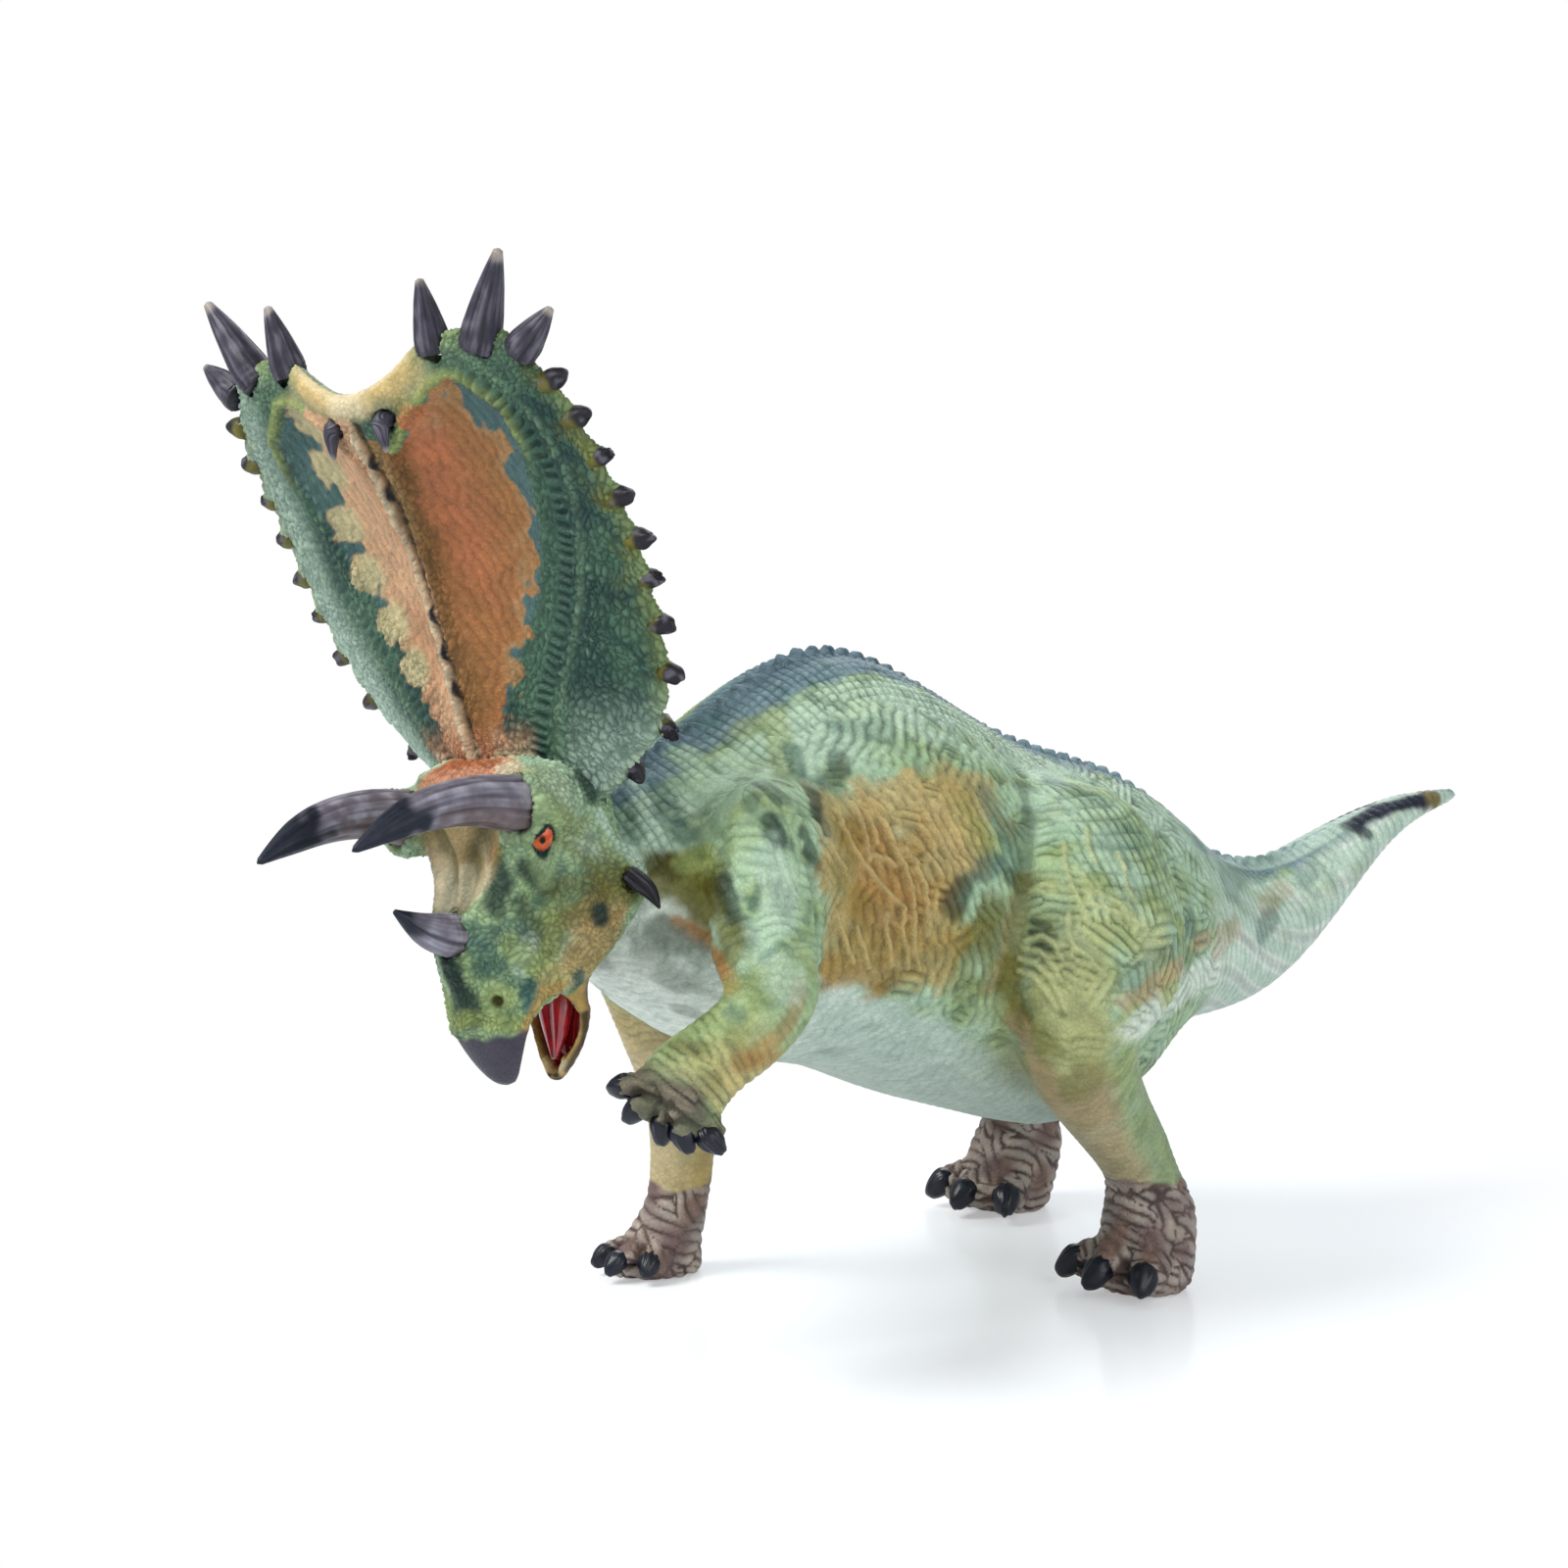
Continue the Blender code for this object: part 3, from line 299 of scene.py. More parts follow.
def cells(points, size, seed):
    """How deep each point lies inside its cell: 0 on the edge between two cells, near 1 at the middle."""
    scaled = points / size
    base = np.floor(scaled).astype(np.int64)
    near = np.full(len(points), 9.0)
    second = near.copy()
    for offset in itertools.product((-1, 0, 1), repeat=3):
        corner = base + offset
        gap = np.linalg.norm(corner + scattered(corner, seed) - scaled, axis=1)
        second = np.minimum(second, np.maximum(gap, near))
        near = np.minimum(near, gap)
    return np.clip(second - near, 0, 1)


def line_gap(points, line):
    """Distance to a line through several places, and how far along it the nearest place lies."""
    best = np.full(len(points), np.inf)
    along = np.zeros(len(points))
    run = 0.0
    for start, end in zip(line, line[1:]):
        step = end - start
        length = float(np.linalg.norm(step))
        share = np.clip((points - start) @ step / length**2, 0, 1)
        gap = np.linalg.norm(points - start - share[:, None] * step, axis=1)
        closer = gap < best
        best[closer] = gap[closer]
        along[closer] = run + share[closer] * length
        run += length
    return best, along


def outline_depth(points, outline):
    """How deep flat points lie inside a closed outline, less than zero outside it."""
    inside = np.zeros(len(points), bool)
    ends = np.roll(outline, -1, axis=0)
    for (ax, ay), (bx, by) in zip(outline, ends):
        spans = (ay > points[:, 1]) != (by > points[:, 1])
        crossing = ax + (points[:, 1] - ay) * (bx - ax) / (by - ay if by != ay else 1e-9)
        inside ^= spans & (points[:, 0] < crossing)
    gap, _ = line_gap(points, [*outline, outline[0]])
    return np.where(inside, gap, -gap)


class Limb:
    """Places along and around a limb."""

    def __init__(self, name):
        self.line = np.array(LIMBS[name])

    def unrolled(self, points):
        """Each point as its place along the limb and its offset from the centre line."""
        _, along = line_gap(points, self.line)
        runs = np.concatenate(((0,), np.cumsum(np.linalg.norm(np.diff(self.line, axis=0), axis=1))))
        centre = np.stack([np.interp(along, runs, self.line[:, i]) for i in range(3)], 1)
        offset = points - centre
        return np.stack((along, offset[:, 0], offset[:, 1] + offset[:, 2]), 1), along


def mesh_arrays(mesh):
    """A mesh's vertices in millimetres in the layout's axes, and its faces as quads."""
    points = np.empty(len(mesh.vertices) * 3, np.float32)
    mesh.vertices.foreach_get("co", points)
    faces = np.empty(len(mesh.loops), np.int32)
    mesh.loops.foreach_get("vertex_index", faces)
    return points.reshape(-1, 3).astype(float) / MM - LAYOUT_ORIGIN, faces.reshape(-1, 4)


def new_mesh(name, points, faces):
    mesh = bpy.data.meshes.new(name)
    mesh.from_pydata(((np.asarray(points) + LAYOUT_ORIGIN) * MM).tolist(), [], [list(face) for face in faces])
    mesh.update()
    return mesh


def add_piece(name, mesh, material, replaced=()):
    """A visible piece that rides on the figure's one body."""
    piece = bpy.data.objects.new(name, mesh)
    bpy.context.scene.collection.objects.link(piece)
    mesh.materials.append(material)
    mesh.shade_smooth()
    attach(piece, "root")
    if replaced:
        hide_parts(*replaced)
    return piece


def evaluated_mesh(obj):
    graph = bpy.context.evaluated_depsgraph_get()
    return bpy.data.meshes.new_from_object(obj.evaluated_get(graph))


def largest_shell(points, faces):
    """Only the faces of the shell that reaches furthest, so that hollows inside it go."""
    label = np.arange(len(points))
    pairs = np.concatenate([np.stack((faces[:, i], faces[:, (i + 1) % 4]), 1) for i in range(4)])
    while True:
        low = np.minimum(label[pairs[:, 0]], label[pairs[:, 1]])
        merged = label.copy()
        np.minimum.at(merged, pairs[:, 0], low)
        np.minimum.at(merged, pairs[:, 1], low)
        merged = merged[merged]
        if (merged == label).all():
            break
        label = merged
    names, counts = np.unique(label, return_counts=True)
    kept = label == names[counts.argmax()]
    place = np.cumsum(kept) - 1
    return points[kept], place[faces[kept[faces[:, 0]]]]


def relaxed(points, faces, steps, hold):
    """Smooths without shrinking: each step in is followed by a slightly longer step out."""
    pairs = np.concatenate([np.stack((faces[:, i], faces[:, (i + 1) % 4]), 1) for i in range(4)])
    heads, tails = pairs[:, 0], pairs[:, 1]
    count = np.bincount(heads, minlength=len(points))[:, None]
    for _ in range(steps):
        for amount in (0.62, -0.64):
            sums = np.stack([np.bincount(heads, points[tails, i], len(points)) for i in range(3)], 1)
            points = points + (sums / count - points) * amount * hold[:, None]
    return points


def node_mesh(node, grow):
    """A solid's mesh with its corners welded and every side moved outwards."""
    bm = bmesh.new()
    bm.from_mesh(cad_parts[node].data)
    bmesh.ops.remove_doubles(bm, verts=bm.verts, dist=WELD * MM)
    bmesh.ops.recalc_face_normals(bm, faces=bm.faces)
    bm.normal_update()
    for vertex, outwards in [(vertex, vertex.normal.copy()) for vertex in bm.verts]:
        vertex.co += outwards * grow * MM
    mesh = bpy.data.meshes.new(node + "_grown")
    bm.to_mesh(mesh)
    bm.free()
    return mesh


WELD = 0.002
GROWN = 0.22


def melted(points, faces, zones):
    """Softens the surface inside some balls, each given by its middle, radius and number of steps."""
    pairs = np.concatenate([np.stack((faces[:, i], faces[:, (i + 1) % 4]), 1) for i in range(4)])
    heads, tails = pairs[:, 0], pairs[:, 1]
    for middle, radius, steps in zones:
        weight = ease(radius, radius * 0.55, np.linalg.norm(points - middle, axis=1))
        inside = np.nonzero(weight > 0)[0]
        kept = weight[heads] > 0
        place = np.full(len(points), -1)
        place[inside] = np.arange(len(inside))
        near_heads, near_tails = place[heads[kept]], tails[kept]
        count = np.bincount(near_heads, minlength=len(inside))[:, None]
        share = 0.6 * weight[inside][:, None]
        for _ in range(steps):
            sums = [np.bincount(near_heads, points[near_tails, i], len(inside)) for i in range(3)]
            points[inside] += (np.stack(sums, 1) / count - points[inside]) * share
    return points


def fused(nodes, voxel, steps, hold_below=None, zones=(), blend=0.9):
    """The outside of several solids as one smooth mesh, with a weight at each vertex for each solid."""
    bm = bmesh.new()
    for node in nodes:
        bm.from_mesh(node_mesh(node, GROWN))
    joined = bpy.data.meshes.new("joined")
    bm.to_mesh(joined)
    bm.free()
    obj = bpy.data.objects.new("joined", joined)
    bpy.context.scene.collection.objects.link(obj)
    remesh = obj.modifiers.new("remesh", "REMESH")
    remesh.mode = "VOXEL"
    remesh.voxel_size = voxel * MM
    points, faces = mesh_arrays(evaluated_mesh(obj))
    bpy.data.objects.remove(obj, do_unlink=True)
    points, faces = largest_shell(points, faces)
    hold = np.ones(len(points))
    if hold_below is not None:
        hold = ease(*hold_below, points[:, 2]) * 0.8 + 0.2
    points = relaxed(points, faces, steps, hold)
    points -= normals_of(points, faces) * GROWN
    points = melted(points, faces, zones)
    weights = []
    for node in nodes:
        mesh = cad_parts[node].data
        corners = [vertex.co for vertex in mesh.vertices]
        tree = BVHTree.FromPolygons(corners, [tuple(face.vertices) for face in mesh.polygons])
        gaps = [tree.find_nearest(Vector(place))[3] for place in (points + LAYOUT_ORIGIN) * MM]
        weights.append(np.exp(-np.array(gaps) / (blend * MM)))
    weights = np.stack(weights, 1)
    weights /= weights.sum(1, keepdims=True)
    coarse = new_mesh("coarse", points, faces)
    for node, weight in zip(nodes, weights.T):
        coarse.attributes.new(node, "FLOAT", "POINT").data.foreach_set("value", weight)
    obj = bpy.data.objects.new("coarse", coarse)
    bpy.context.scene.collection.objects.link(obj)
    subdivision = obj.modifiers.new("fine", "SUBSURF")
    subdivision.levels = subdivision.render_levels = 1
    fine = evaluated_mesh(obj)
    bpy.data.objects.remove(obj, do_unlink=True)
    points, faces = mesh_arrays(fine)
    shares = {}
    for node in nodes:
        values = np.empty(len(points), np.float32)
        fine.attributes[node].data.foreach_get("value", values)
        shares[node] = values.astype(float)
    return Skin(points, faces, shares)


def normals_of(points, faces):
    """Smooth normals of a quad mesh."""
    across = points[faces[:, 2]] - points[faces[:, 0]]
    along = points[faces[:, 3]] - points[faces[:, 1]]
    flat = np.cross(across, along)
    corners = faces.ravel()
    total = np.stack([np.bincount(corners, np.repeat(flat[:, i], 4), len(points)) for i in range(3)], 1)
    return total / np.maximum(np.linalg.norm(total, axis=1, keepdims=True), 1e-12)


class Skin:
    """A dense quad mesh as arrays, which strokes push and paint."""

    def __init__(self, points, faces, shares):
        self.points, self.faces, self.shares = points, faces, shares
        self.normals = normals_of(points, faces)
        self.paint = np.zeros((len(points), 3))
        self.recess = np.zeros(len(points))
        self.lift = np.zeros(len(points))
        self.noise = waves(points, 7.0, 5) * 0.7 + waves(points, 2.6, 6) * 0.3
        self.tree = BVHTree.FromPolygons(points.tolist(), faces.tolist())

    def push(self):
        """Moves the surface by what has been asked for so far."""
        self.points = self.points + self.normals * self.lift[:, None]
        self.lift[:] = 0
        self.normals = normals_of(self.points, self.faces)

    def snapped(self, points):
        return np.array([self.tree.find_nearest(Vector(point))[0] for point in points])

    def seen(self, pixels):
        """The places on the surface that the photograph's camera sees at some pixels."""
        found = []
        for pixel in pixels:
            hit = self.tree.ray_cast(Vector(photo.eye), Vector(photo.ray(pixel)))[0]
            if hit is not None:
                found.append(np.array(hit))
        return found

    def near(self, line, radius):
        """The vertices within a radius of a line on the surface, with their distance and place along it."""
        line = [np.asarray(place, float) for place in line]
        if len(line) == 1:
            line = [line[0], line[0] + (0, 0, 1e-3)]
        low = np.min(line, axis=0) - radius
        high = np.max(line, axis=0) + radius
        inside = np.nonzero(((self.points > low) & (self.points < high)).all(1))[0]
        gap, along = line_gap(self.points[inside], line)
        kept = gap < radius
        inside = inside[kept]
        middle = Vector(line[len(line) // 2])
        face = np.array(self.tree.find_nearest(middle)[1])
        facing = ease(-0.45, 0.15, self.normals[inside] @ face)
        return inside, gap[kept], along[kept], facing

    def stroke(self, line, radius, height):
        """A rounded ridge along a line, or a furrow where the height is negative."""
        inside, gap, _, facing = self.near(line, radius)
        rise = (1 - (gap / radius) ** 2) ** 2 * facing
        self.lift[inside] += height * rise
        if height < 0:
            self.recess[inside] = np.maximum(self.recess[inside], rise * min(-height, 1))

    def dab(self, line, radius, colour, strength=1.0, soft=0.6, ragged=0.35):
        """Paint along a line, with a soft and ragged edge."""
        inside, gap, _, facing = self.near(line, radius * (1 + ragged))
        gap = gap * (1 + ragged * self.noise[inside])
        cover = strength * ease(radius, radius * (1 - soft), gap) * facing
        self.paint[inside] = mix(self.paint[inside], linear(colour), cover[:, None])

    def cover(self, colour, share):
        self.paint = mix(self.paint, linear(colour), np.clip(share, 0, 1)[:, None])

    def finish(self, name, material, slot, replaced, wet=None):
        """The finished piece, with its paint, recesses and wet parts as attributes for the material."""
        mesh = new_mesh(name, self.points, self.faces)
        paint = mesh.attributes.new("paint", "FLOAT_COLOR", "POINT")
        paint.data.foreach_set("color", np.column_stack((self.paint, np.ones(len(self.paint)))).ravel())
        mesh.attributes.new("recess", "FLOAT", "POINT").data.foreach_set("value", np.clip(self.recess, 0, 1))
        wet = np.zeros(len(self.points)) if wet is None else wet
        mesh.attributes.new("wet", "FLOAT", "POINT").data.foreach_set("value", wet)
        return add_piece(name, mesh, material, replaced)


# Materials
def new_material(name):
    material = bpy.data.materials.new(name)
    material.use_nodes = True
    nodes, links = material.node_tree.nodes, material.node_tree.links
    return material, nodes, links, nodes["Principled BSDF"]


def blended(nodes, links, kind, share, first, second):
    """A colour mix of two sockets or colours."""
    node = nodes.new("ShaderNodeMix")
    node.data_type = "RGBA"
    node.blend_type = kind
    for place, value in (("Factor", share), ("A", first), ("B", second)):
        socket = next(s for s in node.inputs if s.name == place and s.type == ("VALUE" if place == "Factor" else "RGBA"))
        if hasattr(value, "is_output"):
            links.new(value, socket)
        else:
            socket.default_value = value
    return next(s for s in node.outputs if s.type == "RGBA")


def ramp(nodes, links, source, low, high, start=0.0, end=1.0):
    node = nodes.new("ShaderNodeMapRange")
    node.interpolation_type = "SMOOTHSTEP"
    for place, value in (("From Min", low), ("From Max", high), ("To Min", start), ("To Max", end)):
        node.inputs[place].default_value = value
    links.new(source, node.inputs["Value"])
    return node.outputs["Result"]


def skin_material(name, grain, bump, roughness, specular=0.16, wash=0.55, wet=False):
    """Satin paint over moulded skin: fine grain, a dark wash in the recesses and mottled tops."""
    material, nodes, links, shader = new_material(name)
    coordinates = nodes.new("ShaderNodeTexCoord").outputs["Object"]
    paint, recess, damp = (nodes.new("ShaderNodeAttribute") for _ in range(3))
    paint.attribute_name, recess.attribute_name, damp.attribute_name = "paint", "recess", "wet"
    pebbles = nodes.new("ShaderNodeTexVoronoi")
    pebbles.feature = "DISTANCE_TO_EDGE"
    pebbles.inputs["Scale"].default_value = 1 / (grain * MM)
    links.new(coordinates, pebbles.inputs["Vector"])
    mottle, speck = nodes.new("ShaderNodeTexNoise"), nodes.new("ShaderNodeTexNoise")
    for noise, size, detail in ((mottle, 2.4, 6), (speck, 0.40, 3)):
        noise.inputs["Scale"].default_value = 1 / (size * MM)
        noise.inputs["Detail"].default_value = detail
        noise.inputs["Roughness"].default_value = 0.62
        links.new(coordinates, noise.inputs["Vector"])
    light = ramp(nodes, links, mottle.outputs["Fac"], 0.34, 0.66)
    tone = blended(nodes, links, "MIX", light, (0.84, 0.87, 0.86, 1), (1.10, 1.09, 1.07, 1))
    colour = blended(nodes, links, "MULTIPLY", 1.0, paint.outputs["Color"], tone)
    dry = nodes.new("ShaderNodeMath")
    dry.operation = "SUBTRACT"
    dry.inputs[0].default_value = 1.0
    links.new(damp.outputs["Fac"], dry.inputs[1])
    edges = nodes.new("ShaderNodeMath")
    edges.operation = "MULTIPLY"
    links.new(ramp(nodes, links, pebbles.outputs["Distance"], 0.02, 0.16, 0.20, 0.0), edges.inputs[0])
    links.new(dry.outputs[0], edges.inputs[1])
    colour = blended(nodes, links, "MULTIPLY", edges.outputs[0], colour, (0.45, 0.52, 0.50, 1))
    depth = ramp(nodes, links, recess.outputs["Fac"], 0.10, 0.90, 0.0, wash)
    colour = blended(nodes, links, "MULTIPLY", depth, colour, (0.20, 0.28, 0.25, 1))
    links.new(colour, shader.inputs["Base Color"])
    satin = ramp(nodes, links, mottle.outputs["Fac"], 0.3, 0.7, roughness - 0.07, roughness + 0.07)
    smooth = nodes.new("ShaderNodeMath")
    smooth.operation = "MULTIPLY_ADD"
    links.new(damp.outputs["Fac"], smooth.inputs[0])
    smooth.inputs[1].default_value = 0.18 - roughness
    links.new(satin, smooth.inputs[2])
    links.new(smooth.outputs[0], shader.inputs["Roughness"])
    shader.inputs["Specular IOR Level"].default_value = specular
    if wet:
        links.new(damp.outputs["Fac"], shader.inputs["Coat Weight"])
    rise = nodes.new("ShaderNodeMath")
    rise.operation = "MULTIPLY_ADD"
    links.new(speck.outputs["Fac"], rise.inputs[0])
    rise.inputs[1].default_value = 0.6
    links.new(ramp(nodes, links, pebbles.outputs["Distance"], 0.0, 0.22), rise.inputs[2])
    relief = nodes.new("ShaderNodeBump")
    relief.inputs["Distance"].default_value = bump * MM
    links.new(dry.outputs[0], relief.inputs["Strength"])
    links.new(rise.outputs[0], relief.inputs["Height"])
    links.new(relief.outputs["Normal"], shader.inputs["Normal"])
    return material


def gloss_material(name, colour, roughness, coat, painted=False):
    """Gloss paint with a faint unevenness, of one colour or as painted on the vertices."""
    material, nodes, links, shader = new_material(name)
    coordinates = nodes.new("ShaderNodeTexCoord").outputs["Object"]
    cloud = nodes.new("ShaderNodeTexNoise")
    cloud.inputs["Scale"].default_value = 1 / (1.3 * MM)
    cloud.inputs["Detail"].default_value = 5
    links.new(coordinates, cloud.inputs["Vector"])
    share = ramp(nodes, links, cloud.outputs["Fac"], 0.3, 0.7)
    if painted:
        paint, recess = nodes.new("ShaderNodeAttribute"), nodes.new("ShaderNodeAttribute")
        paint.attribute_name, recess.attribute_name = "paint", "recess"
        tone = blended(nodes, links, "MIX", share, (0.80, 0.80, 0.80, 1), (1.15, 1.15, 1.15, 1))
        mixed = blended(nodes, links, "MULTIPLY", 1.0, paint.outputs["Color"], tone)
        depth = ramp(nodes, links, recess.outputs["Fac"], 0.0, 1.0, 0.0, 0.7)
        mixed = blended(nodes, links, "MULTIPLY", depth, mixed, (0.25, 0.22, 0.26, 1))
    else:
        dark, light = (tuple(linear(colour) * times) + (1,) for times in (0.7, 1.3))
        mixed = blended(nodes, links, "MIX", share, dark, light)
    links.new(mixed, shader.inputs["Base Color"])
    links.new(ramp(nodes, links, cloud.outputs["Fac"], 0.3, 0.7, roughness, roughness * 1.5),
              shader.inputs["Roughness"])
    shader.inputs["Coat Weight"].default_value = coat
    shader.inputs["Coat Roughness"].default_value = 0.08
    shader.inputs["Specular IOR Level"].default_value = 0.28 if painted or "nail" in name else 0.5
    relief = nodes.new("ShaderNodeBump")
    relief.inputs["Distance"].default_value = 0.05 * MM
    links.new(cloud.outputs["Fac"], relief.inputs["Height"])
    links.new(relief.outputs["Normal"], shader.inputs["Normal"])
    return material


# Where limbs run softly into the trunk: middle, radius, steps
SOFT_JOINTS = (
    ((19.5, -31.0, 67.0), 20.0, 300),
    ((20.0, -42.0, 58.0), 11.0, 60),
    ((20.0, 19.5, 64.0), 19.0, 160),
    ((-17.8, -27.0, 60.0), 15.0, 120),
    ((-20.1, 29.1, 64.0), 19.0, 160),
)


def build_body(material):
    body = fused(BODY_NODES, 0.68, 12, (3.0, 16.0), SOFT_JOINTS, 2.2)
    points = body.points
    x, y, z = points.T
    trunk = body.shares["torso_left_shell"] + body.shares["torso_right_shell"] + body.shares["tail"]

    # How far below the back's line and above the belly's line each point lies, and its place round the trunk
    bins = np.arange(-60, 112, 4.0)
    spine = np.abs(x) < 3
    tops = [z[spine & (np.abs(y - middle) < 3)].max(initial=-1) for middle in bins]
    lows = [z[(trunk > 0.6) & (np.abs(x) < 4) & (np.abs(y - middle) < 3)].min(initial=999) for middle in bins]
    top, low = np.interp(y, bins, tops), np.interp(y, bins, lows)
    below, above = top - z, z - low
    girth = np.clip((top - low) / 2, 3, 30)
    around = np.arctan2(z - (top + low) / 2, np.abs(x)) * girth
    flat = np.stack((y, around, 0.25 * x), 1)
    wide, mid, small = waves(points, 14.0, 31), waves(points, 5.5, 32), waves(points, 2.6, 33)

    gap, back = line_gap(np.stack((y, z), 1), [np.array(place) for place in zip(bins, tops)])
    off_ridge = np.hypot(x, gap)
    hump = ease(15, 11, off_ridge + mid) * ease(30, 12, y) * ease(-58, -50, y) * trunk
    belly = ease(14, 9, above + 0.10 * (y + 10) + mid) * trunk * ease(56, 46, y)
    flank = trunk * ease(-32, -22, y) * ease(26, 16, y) * (1 - hump) * (1 - belly)
    on_tail = ease(38, 52, y)

    # Folds of the trunk: upright and fanned on the flank, a grid on the back and neck, fine ones below
    upright = folds(flat, 1.45, 11, (1, 0.22, 0), 0.20)
    fan = folds(flat, 1.45, 12, (1, -0.55, 0), 0.22)
    crossing = folds(flat, 2.2, 13, (0.15, 1, 0), 0.25)
    on_back = np.stack((back, off_ridge, np.zeros(len(points))), 1)
    grid = np.minimum(folds(on_back, 1.35, 16, (1, 0.08, 0), 0.07), folds(on_back, 1.35, 17, (0.06, 1, 0), 0.07) + 0.1)
    patches = patchwork(flat, 1.4, 40, ((1, 0.2, 0), (0.2, 1, 0), (0.8, 0.8, 0), (0.8, -0.8, 0)), 9.0)
    fine = folds(points, 1.4, 15, (0, 1, -0.6), 0.35)
    fanned = mix(upright, fan, ease(10, 22, around) * ease(12, -6, y))
    woven = np.minimum(fanned, crossing * 0.8 + ease(-0.3, 0.9, wide) * 0.5 + 0.25)
    ridge = mix(patches, woven, ease(0.3, 0.7, flank * ease(1.3, 0.2, mid)))
    ridge = mix(ridge, grid, ease(0.35, 0.65, hump + ease(-30, -40, y) * (1 - belly) * trunk))
    ridge = mix(ridge, fine, belly)
    rings = folds(flat, 1.4, 19, (1, 0.15, 0), 0.16)
    ridge = mix(ridge, np.minimum(rings, crossing + 0.35), ease(0.3, 0.7, on_tail * (1 - belly)))
    amount = mix(0.24, 0.38, flank)
    amount = mix(amount, 0.30, hump)
    amount = mix(amount, 0.10, belly)
    amount = mix(amount, 0.15, on_tail)
    ridge, amount = limb_folds(body, ridge, amount * trunk)
    amount *= 0.55 + 0.45 * ease(-1.2, 0.6, waves(points, 6.0, 34))
    cords = np.sqrt(ridge)
    body.lift += 1.25 * amount * (cords - 0.64)
    depth = np.clip(amount / 0.26, 0.1, 1.1)
    body.recess = ease(0.34, 0.0, ridge) * depth * ease(-2.2, -0.2, mid + 0.5 * wide) * mix(0.65, 0.35, flank)

    # Beads along the back
    bead = ease(1.7, 0.5, np.abs(x)) * ease(3.0, 0.8, below) * trunk * ease(-50, -44, y)
    body.lift += bead * (0.45 + 0.55 * np.cos(2 * math.pi * y / 2.4)) * ease(84, 64, y)
    shape_toes(body)
    for pixels, radius, rise, on_both in BODY_LINES:
        line = body.seen(pixels)
        body.stroke(line, radius, rise)
        if on_both:
            body.stroke(body.snapped(mirrored_body(line)), radius, rise)
    wrinkles = []
    for colour, on_both, paths in WRINKLES:
        for pixels in paths:
            line = body.seen(pixels)
            wrinkles.append((line, colour))
            if on_both:
                wrinkles.append((body.snapped(mirrored_body(line)), colour))
    for line, _ in wrinkles:
        body.stroke(line, WRINKLE_RADIUS * 2.3, -0.28)
        body.stroke(line, WRINKLE_RADIUS, WRINKLE_RISE)

    # Paint
    body.paint[:] = linear("mint")
    body.cover("light green", ease(-0.2, 0.9, wide) * 0.55)
    body.cover("yellow green", ease(0.0, 1.0, mid) * 0.45 * (1 - belly))
    reach = np.interp(y, (-50, -10, 15, 30, 60, 90), (6, 8, 6.5, 5.2, 5.0, 3.0))
    body.cover("grey blue", ease(1.5, -1.0, off_ridge - reach + mid) * trunk * 0.9)
    body.cover("pale mint", ease(-1, 2, off_ridge - reach) * ease(14, 8, off_ridge - reach + mid) * trunk * 0.5)
    body.cover("slate", ease(4.5, 2, off_ridge + 0.5 * mid) * trunk * ease(40, 4, y) * 0.5)
    body.cover("teal", ease(0.5, 1.3, small + 0.8 * mid) * 0.40 * (1 - belly) * (1 - 0.5 * on_tail))
    body.cover("belly mint", belly)
    body.cover("white mint", belly * ease(-22, -38, y + 3 * mid) * 0.9)
    # Grey in patches on the front of the belly, below the neck
    body.cover("chest grey", belly * ease(0.2, 1.2, mid) * ease(-14, -24, y) * 0.5)
    lower = ease(10, -4, around + 3 * mid)
    body.cover("white mint", on_tail * lower * 0.95)
    stripe = folds(flat, 5.5, 18, (0.25, 1, 0), 0.10)
    body.cover("pale mint", on_tail * ease(0.2, 0.7, stripe) * 0.8)
    body.cover("blue green", on_tail * ease(0.35, 0.0, stripe) * lower * 0.30)
    body.cover("grey blue", on_tail * ease(8, 14, around + 2 * mid) * 0.30)
    paint_legs(body, points, wide, mid)
    paint_marks(body)
    # Lighter on the fold tops, as dry-brushed paint, and darker in the grooves, as painted shade
    body.paint *= mix(1.0, 0.58 + 0.60 * cords, 0.85 * depth)[:, None]
    for line, colour in wrinkles:
        body.dab(line, WRINKLE_RADIUS * 0.8, colour, 0.65, 0.8, 0.1)
    body.push()
    return body.finish("body_skin", material, "painted_skin", BODY_NODES)


